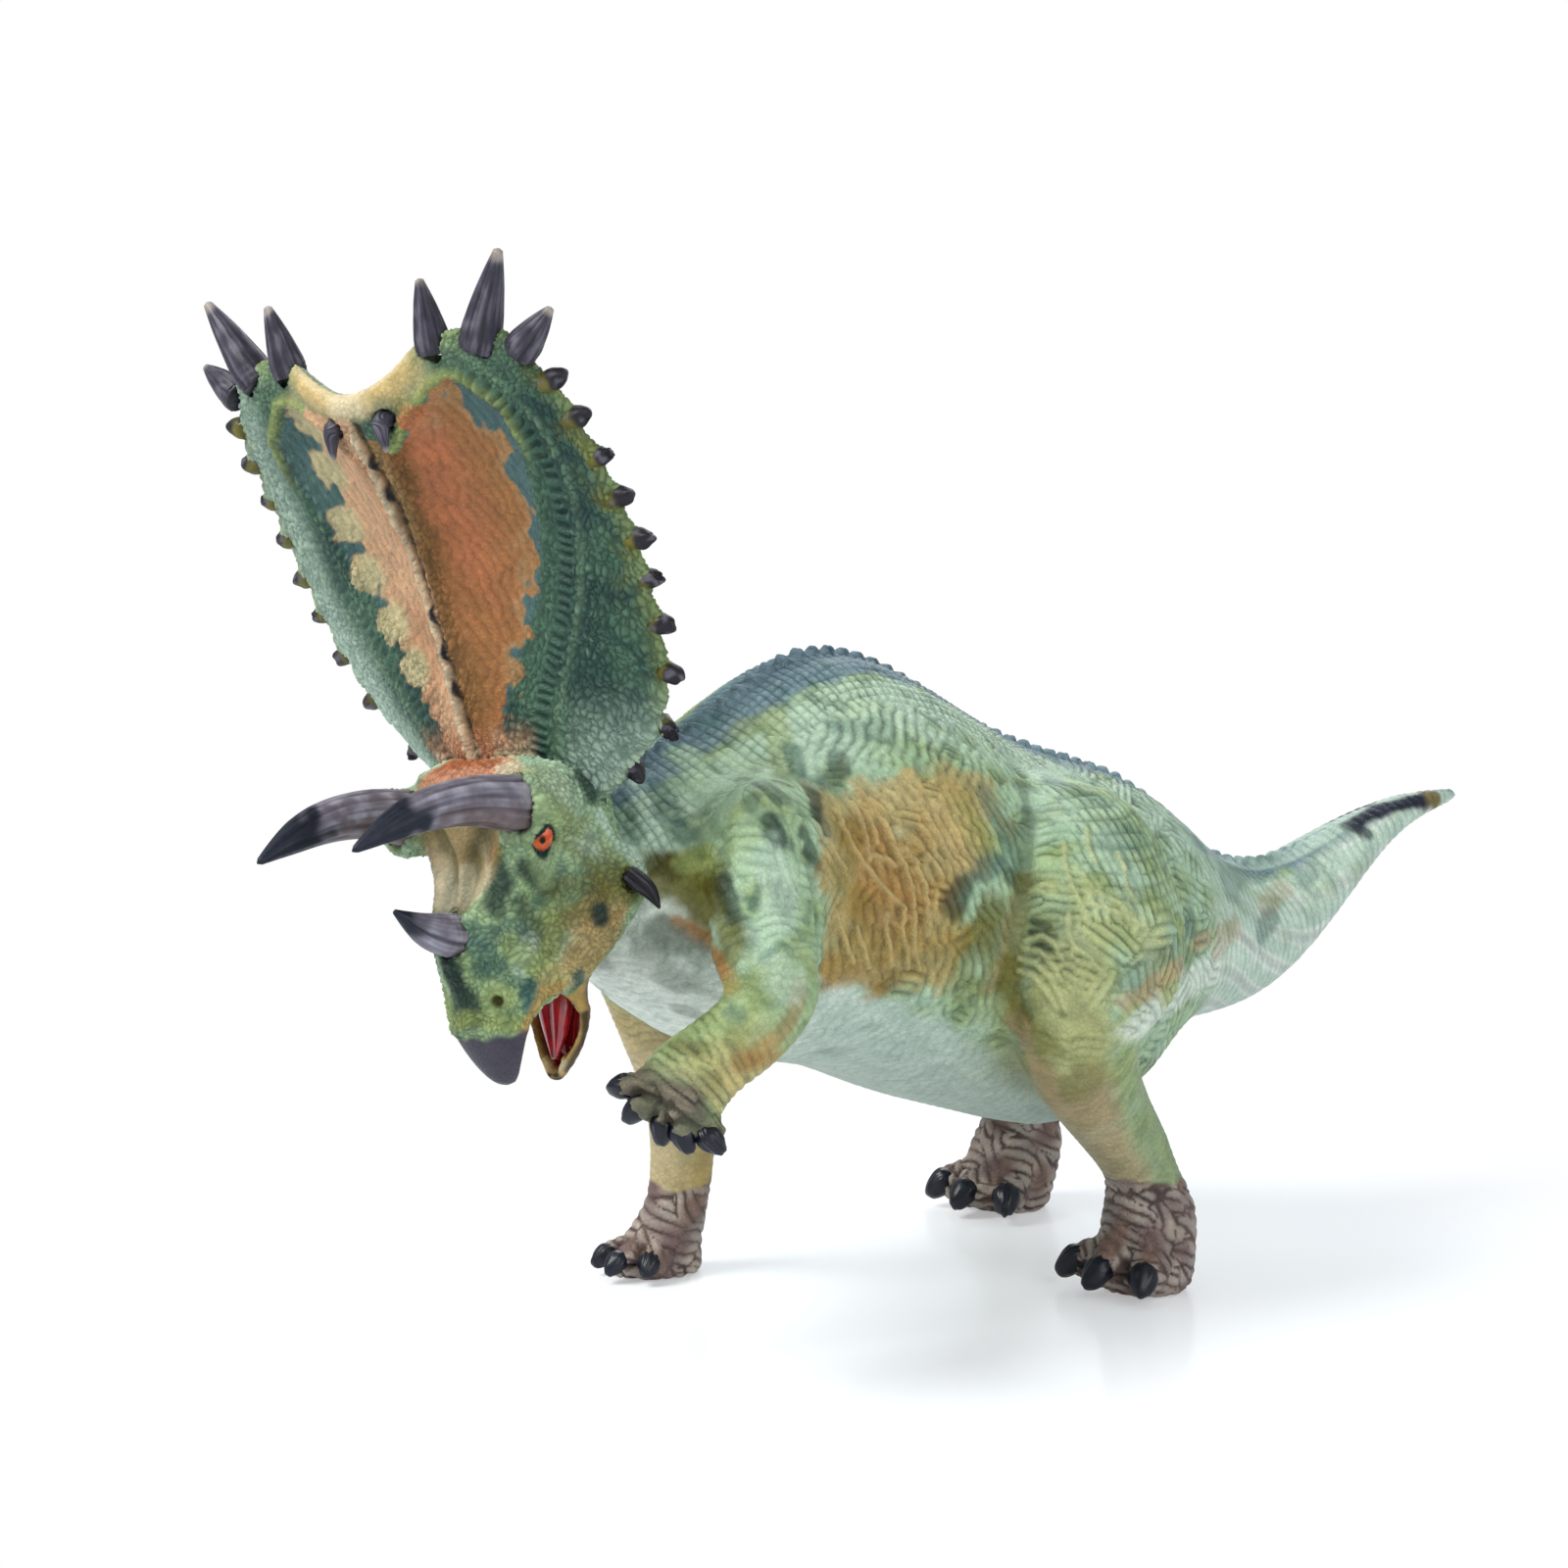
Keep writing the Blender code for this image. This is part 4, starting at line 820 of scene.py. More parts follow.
def limb_folds(body, ridge, amount):
    """Puts the limbs' own folds over those of the trunk."""
    points = body.points
    z = points[:, 2]
    maze = patchwork(points, 1.45, 60, ((0, 1, 0.2), (0, 0.2, 1), (0, 1, 1), (0, 1, -1)), 8.0)
    grid = np.minimum(folds(points, 1.4, 66, (0, 1, 0.1), 0.08), folds(points, 1.4, 67, (0, 0.1, 1), 0.08) + 0.1)
    coarse = patchwork(points, 1.5, 70, ((0, 0.2, 1), (0.3, 0.3, 1), (1, 1, 0.6)), 6.0, 0.2)
    for name in LIMBS:
        unrolled, along = Limb(name).unrolled(points)
        share = ease(0.30, 0.70, body.shares[name])
        rings = folds(unrolled, 1.15, 21, (1, 0, 0), 0.26)
        if name.startswith("hind"):
            front = ease(-0.5, -4.5, unrolled[:, 2])
            limb = mix(maze, grid, ease(13, 9, along))
            limb = mix(limb, rings, np.maximum(front, ease(24, 30, along)))
            depth = mix(0.08, 0.28, ease(31, 18, along))
            foot = ease(16, 14, z) if name.endswith("left") else ease(29, 26, z)
        elif name == "foreleg_right":
            limb = rings
            depth = mix(0.05, 0.14, ease(20, 26, z))
            foot = ease(13, 11, z)
        else:
            limb = mix(rings, maze, ease(14, 9, along))
            limb = mix(limb, np.minimum(rings, maze + 0.25), ease(35, 38, along))
            depth = mix(mix(0.17, 0.12, ease(14, 20, along)), 0.22, ease(27, 33, along))
            depth = mix(depth, 0.36, ease(35, 38, along))
            foot = np.zeros(len(points))
        limb, depth = mix(limb, coarse, foot), mix(depth, 0.26, foot)
        ridge, amount = mix(ridge, limb, share), mix(amount, depth, share)
    return ridge, amount


def shape_toes(body):
    """Rounds each toe and finger and cuts the clefts between them."""
    toes = toe_tips()
    for name, root, tip, radius in toes:
        line = [np.array(place) for place in body.snapped((mix(root, tip, 0.35), mix(root, tip, 0.7), tip))]
        body.stroke(line, radius * 0.95, 0.85 if "hand" in name else 0.55)
        gap = np.linalg.norm(body.points - tip, axis=1)
        body.lift -= TOE_SHORTER * np.exp(-(gap / (0.8 * radius)) ** 2)
    for (name, root, tip, radius), (next_name, next_root, next_tip, _) in zip(toes, toes[1:]):
        if name[:-2] != next_name[:-2]:
            continue
        middle_root, middle_tip = (root + next_root) / 2, (tip + next_tip) / 2
        line = body.snapped((mix(middle_root, middle_tip, 0.2), mix(middle_root, middle_tip, 0.6), middle_tip))
        body.stroke([np.array(place) for place in line], radius * 0.42, -1.3 if "hand" in name else -0.95)


# How much shorter the painted toes end than the solids' toes
TOE_SHORTER = 1.0


# Furrows and ridges on the body: pixels, radius, rise, both sides or not
BODY_LINES = (
    (((1038, 775), (1050, 830), (1046, 900), (1040, 950), (1020, 1005)), 3.2, -0.30, True),
    (((1062, 830), (1058, 900), (1048, 960), (1035, 1010)), 2.6, 0.30, True),
    (((824, 870), (836, 930), (838, 990), (838, 1010)), 1.7, -0.6, False),
    (((700, 800), (716, 830), (738, 858)), 1.5, -0.35, True),
    (((648, 800), (660, 838), (684, 874), (698, 890)), 2.0, 0.15, True),
    (((672, 806), (690, 842), (712, 868)), 1.8, -0.30, True),
    (((630, 812), (642, 850), (662, 885)), 1.6, -0.35, True),
    (((690, 940), (715, 955), (735, 980), (747, 1010)), 1.9, 0.8, False),
    (((735, 850), (745, 890), (770, 930)), 2.2, -0.3, False),
)

# Thin raised wrinkles that run across the folds: paint on their tops, both sides or not, paths of pixels
WRINKLE_RADIUS = 0.72
WRINKLE_RISE = 0.62
WRINKLES = (
    ("sand", True, (
        ((854, 822), (860, 842), (871, 865), (886, 886), (901, 905), (913, 917), (923, 926)),
        ((868, 798), (884, 814), (898, 833), (912, 856), (920, 870), (923, 883)),
        ((890, 816), (907, 830), (923, 846), (938, 862), (950, 877), (962, 895)),
        ((871, 819), (880, 840), (886, 862), (889, 877)),
        ((884, 828), (892, 845), (895, 860)),
        ((901, 839), (909, 856), (914, 868)),
        ((938, 819), (947, 834), (961, 856), (968, 874), (970, 889)),
        ((956, 816), (970, 836), (979, 850), (981, 865)),
        ((926, 865), (935, 880), (944, 902), (947, 923), (946, 946)),
        ((914, 868), (926, 889), (932, 908), (933, 931), (932, 954)),
        ((906, 932), (904, 951), (909, 969), (910, 987)),
        ((923, 928), (921, 946), (926, 969), (926, 989)),
        ((874, 946), (881, 966), (887, 987)),
        ((854, 931), (861, 957), (871, 981)),
        ((917, 837), (932, 840), (947, 848), (956, 862)),
        ((892, 872), (906, 877), (915, 883)),
        ((845, 856), (854, 874), (863, 886)),
        ((956, 908), (953, 931), (947, 954)),
        ((935, 951), (933, 969), (938, 989)),
    )),
    ("thigh cream", False, (
        ((1052, 909), (1064, 904), (1076, 907)),
        ((1047, 959), (1064, 955), (1075, 962), (1083, 978)),
        ((1044, 967), (1061, 971), (1073, 983), (1082, 1000)),
        ((1040, 978), (1056, 983), (1070, 996), (1080, 1014), (1087, 1031)),
        ((1039, 990), (1054, 996), (1068, 1012), (1078, 1029)),
        ((1090, 933), (1090, 954), (1097, 967), (1113, 979), (1128, 996)),
        ((1106, 893), (1116, 909), (1133, 916), (1150, 928), (1162, 942)),
        ((1108, 922), (1126, 926), (1147, 933), (1161, 945)),
        ((1140, 871), (1147, 886), (1150, 904), (1156, 916)),
        ((1109, 847), (1111, 864), (1118, 881)),
        ((1085, 859), (1087, 886), (1095, 907), (1102, 922)),
    )),
)


def paint_legs(body, points, wide, mid):
    """Yellow-green thighs, tan shins and brown feet with a sharp upper edge."""
    z = points[:, 2]
    for name in LIMBS:
        share = body.shares[name]
        unrolled, along = Limb(name).unrolled(points)
        front = ease(0.5, -5.0, unrolled[:, 2])
        if name.startswith("hind"):
            body.cover("yellow green", share * ease(4, 12, along) * ease(46, 30, along) * ease(-0.9, 0.5, mid) * 0.6)
            body.cover("thigh cream", share * ease(8, 14, along) * ease(34, 26, along) * ease(-0.3, 0.7, wide) * 0.7)
            body.cover("olive", share * front * ease(10, 20, along) * ease(40, 30, along) * 0.75)
            body.cover("pink tan", share * front * ease(26, 34, along) * 0.75)
            body.cover("shin green", share * (1 - front) * ease(34, 42, along) * 0.8)
            if name.endswith("left"):
                ankle = ease(15.2, 14.4, z + 0.6 * mid + 0.14 * (points[:, 1] - 26)) * ease(0.3, 0.6, share)
            else:
                ankle = ease(30, 27, z + mid) * ease(0.3, 0.6, share)
            paint_foot(body, ankle, mid, 41)
        elif name == "foreleg_right":
            body.cover("tan", share * ease(10, 22, along) * 0.85)
            body.cover("cream", share * front * ease(16, 30, along) * 0.5)
            ankle = ease(12.4, 11.4, z + 0.6 * mid) * ease(0.3, 0.6, share)
            paint_foot(body, ankle, mid, 42)
        else:
            under = ease(1.0, -3.0, unrolled[:, 2])
            body.cover("yellow green", share * ease(18, 28, along) * 0.6)
            hand = ease(37.0, 40.0, along + 0.8 * mid) * share
            body.cover("sand", share * under * ease(22, 28, along) * (1 - hand) * 0.7)
            body.cover("grey olive", hand * 0.9)
            body.cover("foot brown", hand * ease(-0.5, 0.8, mid) * 0.5)
            body.cover("dark olive", share * ease(29, 33, along) * ease(37, 35, along) * ease(-0.3, 0.7, mid) * 0.5)
            # Cream in patches on the hand's fold tops, away from the recesses: painted highlights
            body.cover("cream", hand * ease(0.1, 1.0, mid) * ease(0.3, 0.0, body.recess) * 0.25)
            body.recess = np.where(hand > 0.3, np.clip(body.recess * 1.1, 0, 1), body.recess)


def paint_foot(body, ankle, mid, seed):
    """Brown over the foot, rosy and grey by turns, with pale grey on the tops of the folds as a painted highlight."""
    tops = 1 - body.recess
    body.cover("foot brown", ankle)
    body.cover("rose brown", ankle * ease(-0.3, 0.9, waves(body.points, 6.0, seed)) * 0.7)
    # Pale grey on the fold tops: a painted highlight
    body.cover("cream grey", ankle * ease(0.65, 1.0, tops) * ease(-1.0, 0.7, mid) * 0.75)
    body.recess = np.where(ankle > 0.4, np.clip(body.recess * 1.1, 0, 1), body.recess)


# Marks on the body: pixels, radius, paint, strength, both sides or not
BODY_MARKS = (
    (((850, 830), (930, 830), (990, 812)), 6.0, "tan", 0.65, True),
    (((860, 880), (950, 890), (985, 850)), 7.0, "tan", 0.80, True),
    (((870, 935), (950, 935)), 7.0, "tan", 0.80, True),
    (((885, 860), (905, 900), (915, 940)), 7.0, "orange tan", 0.55, True),
    (((862, 975), (960, 985)), 4.6, "tan", 0.75, True),
    (((850, 985), (900, 995)), 3.0, "orange tan", 0.35, True),
    (((985, 840), (1010, 860)), 4.0, "yellow green", 0.5, True),
    (((1010, 930), (1015, 1000)), 4.0, "olive", 0.6, True),
    (((1000, 960), (985, 990)), 3.5, "olive", 0.45, True),
    (((856, 780), (845, 800)), 2.2, "dark teal", 0.55, True),
    (((800, 790), (830, 800)), 2.2, "teal", 0.40, True),
    (((860, 740), (900, 748)), 2.4, "teal", 0.35, True),
    (((790, 905), (800, 925)), 1.6, "dark teal", 0.55, True),
    (((775, 905), (768, 925)), 1.3, "teal", 0.55, True),
    (((820, 850), (830, 872)), 1.6, "dark teal", 0.65, True),
    (((835, 830), (845, 850)), 1.5, "teal", 0.55, True),
    (((975, 925), (985, 905)), 2.6, "dark teal", 0.75, True),
    (((1000, 890), (1020, 880)), 2.2, "teal", 0.6, True),
    (((1030, 893), (1042, 903)), 1.8, "dark teal", 0.65, True),
    (((1044, 800), (1048, 840), (1046, 890)), 1.4, "dark teal", 0.45, True),
    (((1060, 790), (1080, 800)), 2.6, "pale mint", 0.5, True),
    (((1035, 920), (1025, 975), (1015, 1005)), 1.6, "pink tan", 0.3, True),
    (((1005, 815), (1025, 850), (1035, 880)), 2.4, "teal", 0.5, True),
    (((755, 940), (760, 955)), 1.6, "teal", 0.6, False),
    (((684, 890), (700, 905), (716, 925)), 4.2, "olive", 0.9, False),
    (((712, 880), (728, 905), (738, 940), (744, 972)), 3.0, "olive", 0.7, False),
    (((738, 905), (745, 918), (747, 928)), 2.0, "dark teal", 0.8, False),
    (((722, 905), (735, 925)), 1.6, "dark olive", 0.6, False),
    (((676, 880), (690, 886)), 2.4, "dark olive", 0.7, False),
    (((700, 880), (722, 872)), 2.2, "yellow green", 0.7, False),
    (((692, 941), (716, 955), (736, 980), (748, 1010)), 1.9, "orange tan", 0.85, False),
    (((648, 796), (658, 830), (674, 862)), 1.8, "pale mint", 0.5, True),
    (((668, 800), (684, 832), (696, 852)), 2.2, "teal", 0.5, True),
    (((632, 818), (645, 850)), 2.2, "teal", 0.45, True),
    (((700, 740), (730, 730)), 3.0, "teal", 0.3, True),
    (((700, 770), (720, 800), (735, 830)), 3.0, "mint", 0.6, True),
    (((775, 800), (800, 815)), 1.8, "dark teal", 0.5, True),
    (((760, 745), (790, 730), (800, 790)), 2.6, "yellow green", 0.5, True),
    (((790, 850), (806, 862)), 1.6, "dark teal", 0.5, False),
    # Grey on the chest below the neck
    (((655, 955), (670, 985), (690, 1000)), 3.6, "chest grey", 0.55, True),
    (((675, 950), (695, 962)), 2.8, "chest grey", 0.8, False),
    (((640, 985), (655, 1012)), 3.0, "white mint", 0.7, True),
    (((1054, 940), (1070, 946)), 0.8, "dark teal", 0.65, False),
    (((1052, 952), (1076, 958)), 0.9, "dark teal", 0.75, False),
    (((1056, 966), (1088, 972)), 0.9, "dark teal", 0.70, False),
    (((1066, 980), (1092, 990)), 0.8, "dark teal", 0.55, False),
    (((1092, 955), (1108, 970)), 1.2, "teal", 0.55, False),
    (((1075, 820), (1120, 835), (1150, 900)), 5.0, "pale mint", 0.30, True),
    (((1045, 900), (1035, 960), (1030, 1010), (1045, 1050)), 2.2, "olive", 0.65, True),
    (((1120, 930), (1090, 1010), (1110, 1060)), 5.0, "thigh cream", 0.5, False),
    (((1080, 800), (1110, 812)), 3.0, "teal", 0.40, True),
    (((1130, 860), (1160, 850)), 2.6, "teal", 0.30, True),
    (((1215, 945), (1185, 975), (1158, 1003)), 2.6, "blue green", 0.45, False),
    (((1232, 958), (1195, 993), (1150, 1022)), 2.0, "pink tan", 0.60, False),
    (((1240, 985), (1200, 1015), (1160, 1045)), 3.4, "white mint", 0.70, False),
    (((1040, 1040), (1055, 1085), (1075, 1120)), 2.0, "pink tan", 0.5, False),
    (((1030, 985), (1040, 1030)), 2.2, "olive", 0.5, False),
    (((768, 1006), (790, 1016)), 2.4, "teal", 0.35, False),
    (((740, 1015), (790, 1000), (820, 985)), 3.0, "yellow green", 0.5, False),
    (((745, 1030), (755, 1036)), 1.4, "teal", 0.45, False),
    (((755, 1086), (790, 1080)), 2.0, "orange tan", 0.5, False),
    (((815, 1020), (808, 1042), (790, 1062), (768, 1080)), 2.0, "orange tan", 0.5, False),
    (((828, 808), (832, 830)), 1.5, "dark teal", 0.75, True),
    (((786, 838), (797, 858)), 1.4, "dark teal", 0.7, True),
    (((808, 765), (814, 788)), 1.7, "teal", 0.6, True),
    (((865, 850), (862, 900)), 4.0, "olive", 0.35, True),
    (((870, 960), (930, 975), (985, 960)), 5.0, "olive", 0.30, True),
    (((890, 812), (950, 815)), 4.0, "sand", 0.45, True),
    (((970, 840), (978, 870)), 3.5, "sand", 0.5, True),
    (((785, 880), (795, 940)), 3.5, "pale mint", 0.5, False),
    (((795, 985), (808, 1010)), 3.0, "pale mint", 0.4, False),
    (((650, 1100), (700, 1110)), 4.0, "hand brown", 0.3, False),
    (((1250, 905), (1290, 930)), 4.0, "pale mint", 0.35, True),
    (((1250, 900), (1290, 880)), 3.4, "teal", 0.40, True),
    (((1290, 925), (1310, 905)), 2.4, "pink tan", 0.4, True),
    (((1240, 970), (1262, 945)), 2.4, "pink tan", 0.4, True),
    (((1285, 955), (1300, 935)), 2.0, "teal", 0.45, True),
    (((1330, 900), (1345, 885)), 2.0, "teal", 0.35, True),
    (((1385, 838), (1405, 826), (1432, 820), (1458, 812)), 1.9, "navy", 1.0, True),
    (((1375, 842), (1395, 850)), 1.3, "navy", 0.8, True),
    (((1462, 813), (1482, 806)), 2.4, "tail tip", 0.95, True),
    (((1225, 862), (1255, 876)), 3.0, "grey blue", 0.6, True),
)


def paint_marks(body):
    for pixels, radius, colour, strength, on_both in BODY_MARKS:
        line = body.seen(pixels)
        body.dab(line, radius, colour, strength)
        if on_both:
            body.dab(body.snapped(mirrored_body(line)), radius, colour, strength)


def frill_place(points):
    """Each point's place across the frill, from -1 to 1, and up its length."""
    across_mm, _, height = body_to_head(points).T
    up = np.clip((height - FRILL_BASE) / FRILL_LENGTH, 0, 1)
    for _ in range(4):
        half = np.interp(up, FRILL_ROWS[:, 0], FRILL_ROWS[:, 1]) * FRILL_HALF_WIDTH
        across = across_mm / half
        dip = FRILL_NOTCH * np.maximum(1 - (across / NOTCH_HALF_WIDTH) ** 2, 0) * up**4
        up = np.clip((height - FRILL_BASE + dip) / FRILL_LENGTH, 0, 1.1)
    return across, up


def frill_point(up, across, ahead=0.0):
    """A place on the middle of the frill's thickness, or ahead of it, in the layout's axes."""
    half, sweep, lean = (float(np.interp(up, FRILL_ROWS[:, 0], FRILL_ROWS[:, i])) for i in (1, 2, 3))
    dip = FRILL_NOTCH * max(1 - (across / NOTCH_HALF_WIDTH) ** 2, 0) * up**4
    back = FRILL_BASE_A - lean * FRILL_LEAN + sweep * FRILL_SWEEP * across**2 - ahead
    return head_to_body((half * FRILL_HALF_WIDTH * across, back, FRILL_BASE + FRILL_LENGTH * up - dip))


# Lines on the frill, each place across from the middle and up the length
CORD_LINE = (
    (0.38, 0.10), (0.38, 0.16), (0.41, 0.245), (0.50, 0.34), (0.60, 0.435), (0.67, 0.53), (0.73, 0.615),
    (0.765, 0.705), (0.755, 0.785), (0.70, 0.86), (0.58, 0.925), (0.42, 0.935),
)
HOLLOW_LINE = (
    (0.05, 0.20), (0.16, 0.185), (0.25, 0.30), (0.36, 0.38), (0.48, 0.47), (0.59, 0.60), (0.68, 0.75),
    (0.68, 0.83), (0.56, 0.89), (0.40, 0.905), (0.27, 0.88), (0.12, 0.80), (0.05, 0.60),
)
NEAR_FIELD_LINE = (
    (-0.2, 0.14), (0.17, 0.17), (0.24, 0.30), (0.38, 0.40), (0.43, 0.485), (0.48, 0.56), (0.53, 0.64),
    (0.55, 0.725), (0.55, 0.795), (0.54, 0.84), (0.46, 0.88), (0.31, 0.885), (0.16, 0.85), (-0.2, 0.84),
)
FAR_FIELD_LINE = (
    (-0.2, 0.10), (0.30, 0.12), (0.36, 0.27), (0.42, 0.40), (0.47, 0.52), (0.50, 0.62), (0.49, 0.74),
    (0.46, 0.86), (0.34, 0.93), (-0.2, 0.93),
)
# Round pale blotches on the far field's edge, and dark knobs beside the middle ridge
FAR_BLOTCHES = ((0.47, 0.865), (0.50, 0.765), (0.53, 0.65), (0.50, 0.545), (0.44, 0.44), (0.38, 0.345))
KNOBS = (0.80, 0.725, 0.455, 0.375, 0.30)


def on_frill(places):
    """Flat millimetres, across and up, for places on the frill."""
    places = np.array(places)
    half = np.interp(places[:, 1], FRILL_ROWS[:, 0], FRILL_ROWS[:, 1]) * FRILL_HALF_WIDTH
    return np.stack((places[:, 0] * half, places[:, 1] * FRILL_LENGTH), 1)


def build_frill(material):
    frill = fused(("frill",), 0.52, 6)
    points = frill.points
    across, up = frill_place(points)
    side = np.abs(across)
    near = across > 0
    front = ease(0.1, -0.3, (frill.normals @ HEAD_AXES)[:, 1])
    flat = on_frill(np.stack((across, up), 1))
    folded = np.abs(flat)
    solid = np.column_stack((flat, np.zeros(len(points))))
    wide, mid, small = waves(points, 12.0, 61), waves(points, 4.5, 62), waves(points, 2.2, 63)

    # The hollow with its raised rim, the ribbed cord outside it and the ridge down the middle
    depth = outline_depth(folded, on_frill(HOLLOW_LINE))
    hollow = ease(-0.4, 2.2, depth) * front
    rim = np.exp(-((depth + 0.9) / 0.7) ** 2) * front * ease(0.30, 0.45, up)
    frill.lift += (0.40 + 0.35 * ease(0.68, 0.80, up)) * rim - 0.45 * hollow
    gap, along = line_gap(folded, on_frill(CORD_LINE))
    cord = ease(1.25, 0.5, gap) * front
    ribs = 0.5 + 0.5 * np.cos(2 * math.pi * along / 1.3 + 1.6 * mid)
    cord *= ease(0.97, 0.86, up) * mix(0.55, 1.0, near)
    frill.lift += cord * (0.60 * ribs - 0.40)
    outer = np.exp(-((gap - 2.1) / 0.5) ** 2) * front * (outline_depth(folded, on_frill(CORD_LINE)) < 0)
    frill.lift += 0.16 * outer
    bend = -0.055 * np.sin(math.pi * np.clip(up, 0, 1)) * FRILL_HALF_WIDTH
    from_ridge = flat[:, 0] - bend
    ridge = np.exp(-((from_ridge + 0.2 * small) / 0.36) ** 2) * front * ease(0.93, 0.86, up)
    frill.lift += 0.8 * ridge
    ditch = np.exp(-((from_ridge - 1.0) / 0.45) ** 2) * front * ease(0.95, 0.86, up)
    frill.lift -= 0.40 * ditch

    # Scales that run up the frill outside, long wrinkles in the hollows
    warp = 0.5 * waves(solid, 5, 51)[:, None]
    tall = cells((solid + warp) * (1, 0.50, 1), 0.62, 3)
    round_cells = cells(points, 0.68, 4)
    calm = ease(0.86, 0.95, up) * ease(0.62, 0.45, side) * 0.6
    tile = mix(round_cells, tall, front * ease(0.90, 0.80, up))
    field = ease(0.02, 0.36, tile)
    outside = (1 - hollow) * (1 - cord)
    frill.lift += (field - 0.6) * 0.25 * outside * (1 - calm)
    grain = folds(solid, 1.25, 52, (1, 0.22, 0), 0.42)
    across_grain = folds(solid, 2.0, 53, (0.2, 1, 0), 0.3)
    wrinkle = np.minimum(grain, across_grain * 0.7 + 0.4)
    crease = ease(0.40, 0.02, wrinkle)
    frill.lift += (np.sqrt(wrinkle) - 0.64) * 0.30 * hollow
    frill.recess = np.maximum((1 - field) * 0.45 * outside * (1 - calm), crease * 0.22 * hollow)
    frill.recess = np.maximum(frill.recess, cord * (1 - ribs) * 0.75)
    frill.recess = np.maximum(frill.recess, ditch * 0.75)

    # The studs' own bumps are as dark as the studs
    studs = np.zeros(len(points))
    for height, side_of in itertools.product(STUD_PLACES, (1, -1)):
        place = frill_point(height, side_of * (1 + 0.7 / FRILL_HALF_WIDTH))
        studs = np.maximum(studs, ease(1.9, 1.3, np.linalg.norm(points - place, axis=1)) * ease(0.99, 1.02, side))

    # Wavy edge
    edge = ease(0.84, 1.0, side)
    frill.lift += edge * 0.22 * np.cos(2 * math.pi * up * FRILL_LENGTH / 4.8)

    # Paint
    tops = ease(0.30, 0.85, tile)
    frill.paint[:] = linear("frill green")
    frill.cover("frill dark", ease(-0.2, 0.9, wide) * 0.65)
    frill.cover("frill light", tops * ease(-0.5, 0.6, mid) * 0.55)
    frill.cover("olive", ease(0.76, 0.95, side) * ease(0.0, 1.0, mid) * ease(0.35, 0.6, up) * 0.7)
    frill.cover("frill light", outer * 0.35)
    band = np.cos(2 * math.pi * (up * FRILL_LENGTH + 9 * side + 1.5 * mid) / 7.0) * front
    frill.cover("frill dark", ease(0.1, 0.9, band) * ease(0.70, 0.84, side) * 0.55)
    frill.cover("olive", ease(0.1, 0.9, -band) * ease(0.84, 0.96, side) * ease(0.35, 0.55, up) * 0.5)
    frill.cover("pale mint", (~near) * ease(0.66, 0.82, side) * 0.55)
    frill.cover("pale mint", (~near) * ease(0.55, 0.75, side) * ease(0.55, 0.30, up) * 0.6)
    frill.cover("yellow green", ease(0.90, 0.99, side) * 0.5)
    frill.cover("frill light", ease(0.88, 0.97, up) * 0.55)
    frill.cover("yellow green", ease(0.93, 1.0, up) * 0.5)
    frill.cover("pale mint", ease(0.30, 0.12, up) * ease(0.45, 0.65, side) * 0.55)
    frill.cover("blue green", ease(-0.4, 0.3, depth) * front * mix(0.75, 1.0, near))
    frill.cover("frill light", (~near) * front * ease(0.50, 0.62, side) * tops * 0.5)
    frill.cover("yellow green", rim * ease(0.70, 0.82, up) * 0.9)
    frill.cover("frill dark", cord * 0.35)

    ragged = 0.9 * mid + 0.6 * small + 0.9 * np.cos(2 * math.pi * up * FRILL_LENGTH / 7.5) * ease(0.3, 0.5, up)
    fill = ease(-0.25, 0.35, outline_depth(folded, on_frill(NEAR_FIELD_LINE)) + ragged) * front * near
    rising = outline_depth(folded, on_frill(NEAR_FIELD_LINE))
    # Orange over the near field, darker than the far field's peach: partly painted shade on the near half of the frill
    frill.cover("orange", fill)
    frill.cover("cream yellow", fill * ease(2.4, 0.2, rising + ragged) * ease(6, 9, from_ridge) * 0.45)
    # Pink-orange across the middle of the near field: partly a painted highlight
    frill.cover("pink orange", fill * ease(2.0, 7.0, from_ridge) * ease(14, 9, from_ridge) * ease(0.35, 0.6, up) * 0.7)
    frill.cover("field tan", fill * ease(8, 13, from_ridge + mid) * 0.6)
    frill.cover("field olive", fill * ease(7.5, 1.5, from_ridge + mid) * 0.80)
    frill.cover("field tan", fill * ease(0.62, 0.35, up) * 0.45)
    frill.cover("red brown", fill * ease(0.3, 0.1, up) * 0.6)
    frill.cover("sand", fill * ease(4.0, 1.0, from_ridge) * ease(0.55, 0.75, up) * 0.4)
    blotch = np.full(len(points), -9.0)
    for middle in on_frill(FAR_BLOTCHES):
        blotch = np.maximum(blotch, 2.3 - np.linalg.norm(folded - middle, axis=1))
    far = np.maximum(outline_depth(folded, on_frill(FAR_FIELD_LINE)) + 0.35 * small, blotch + 0.3 * small)
    fill = ease(-0.2, 0.3, far) * front * ~near
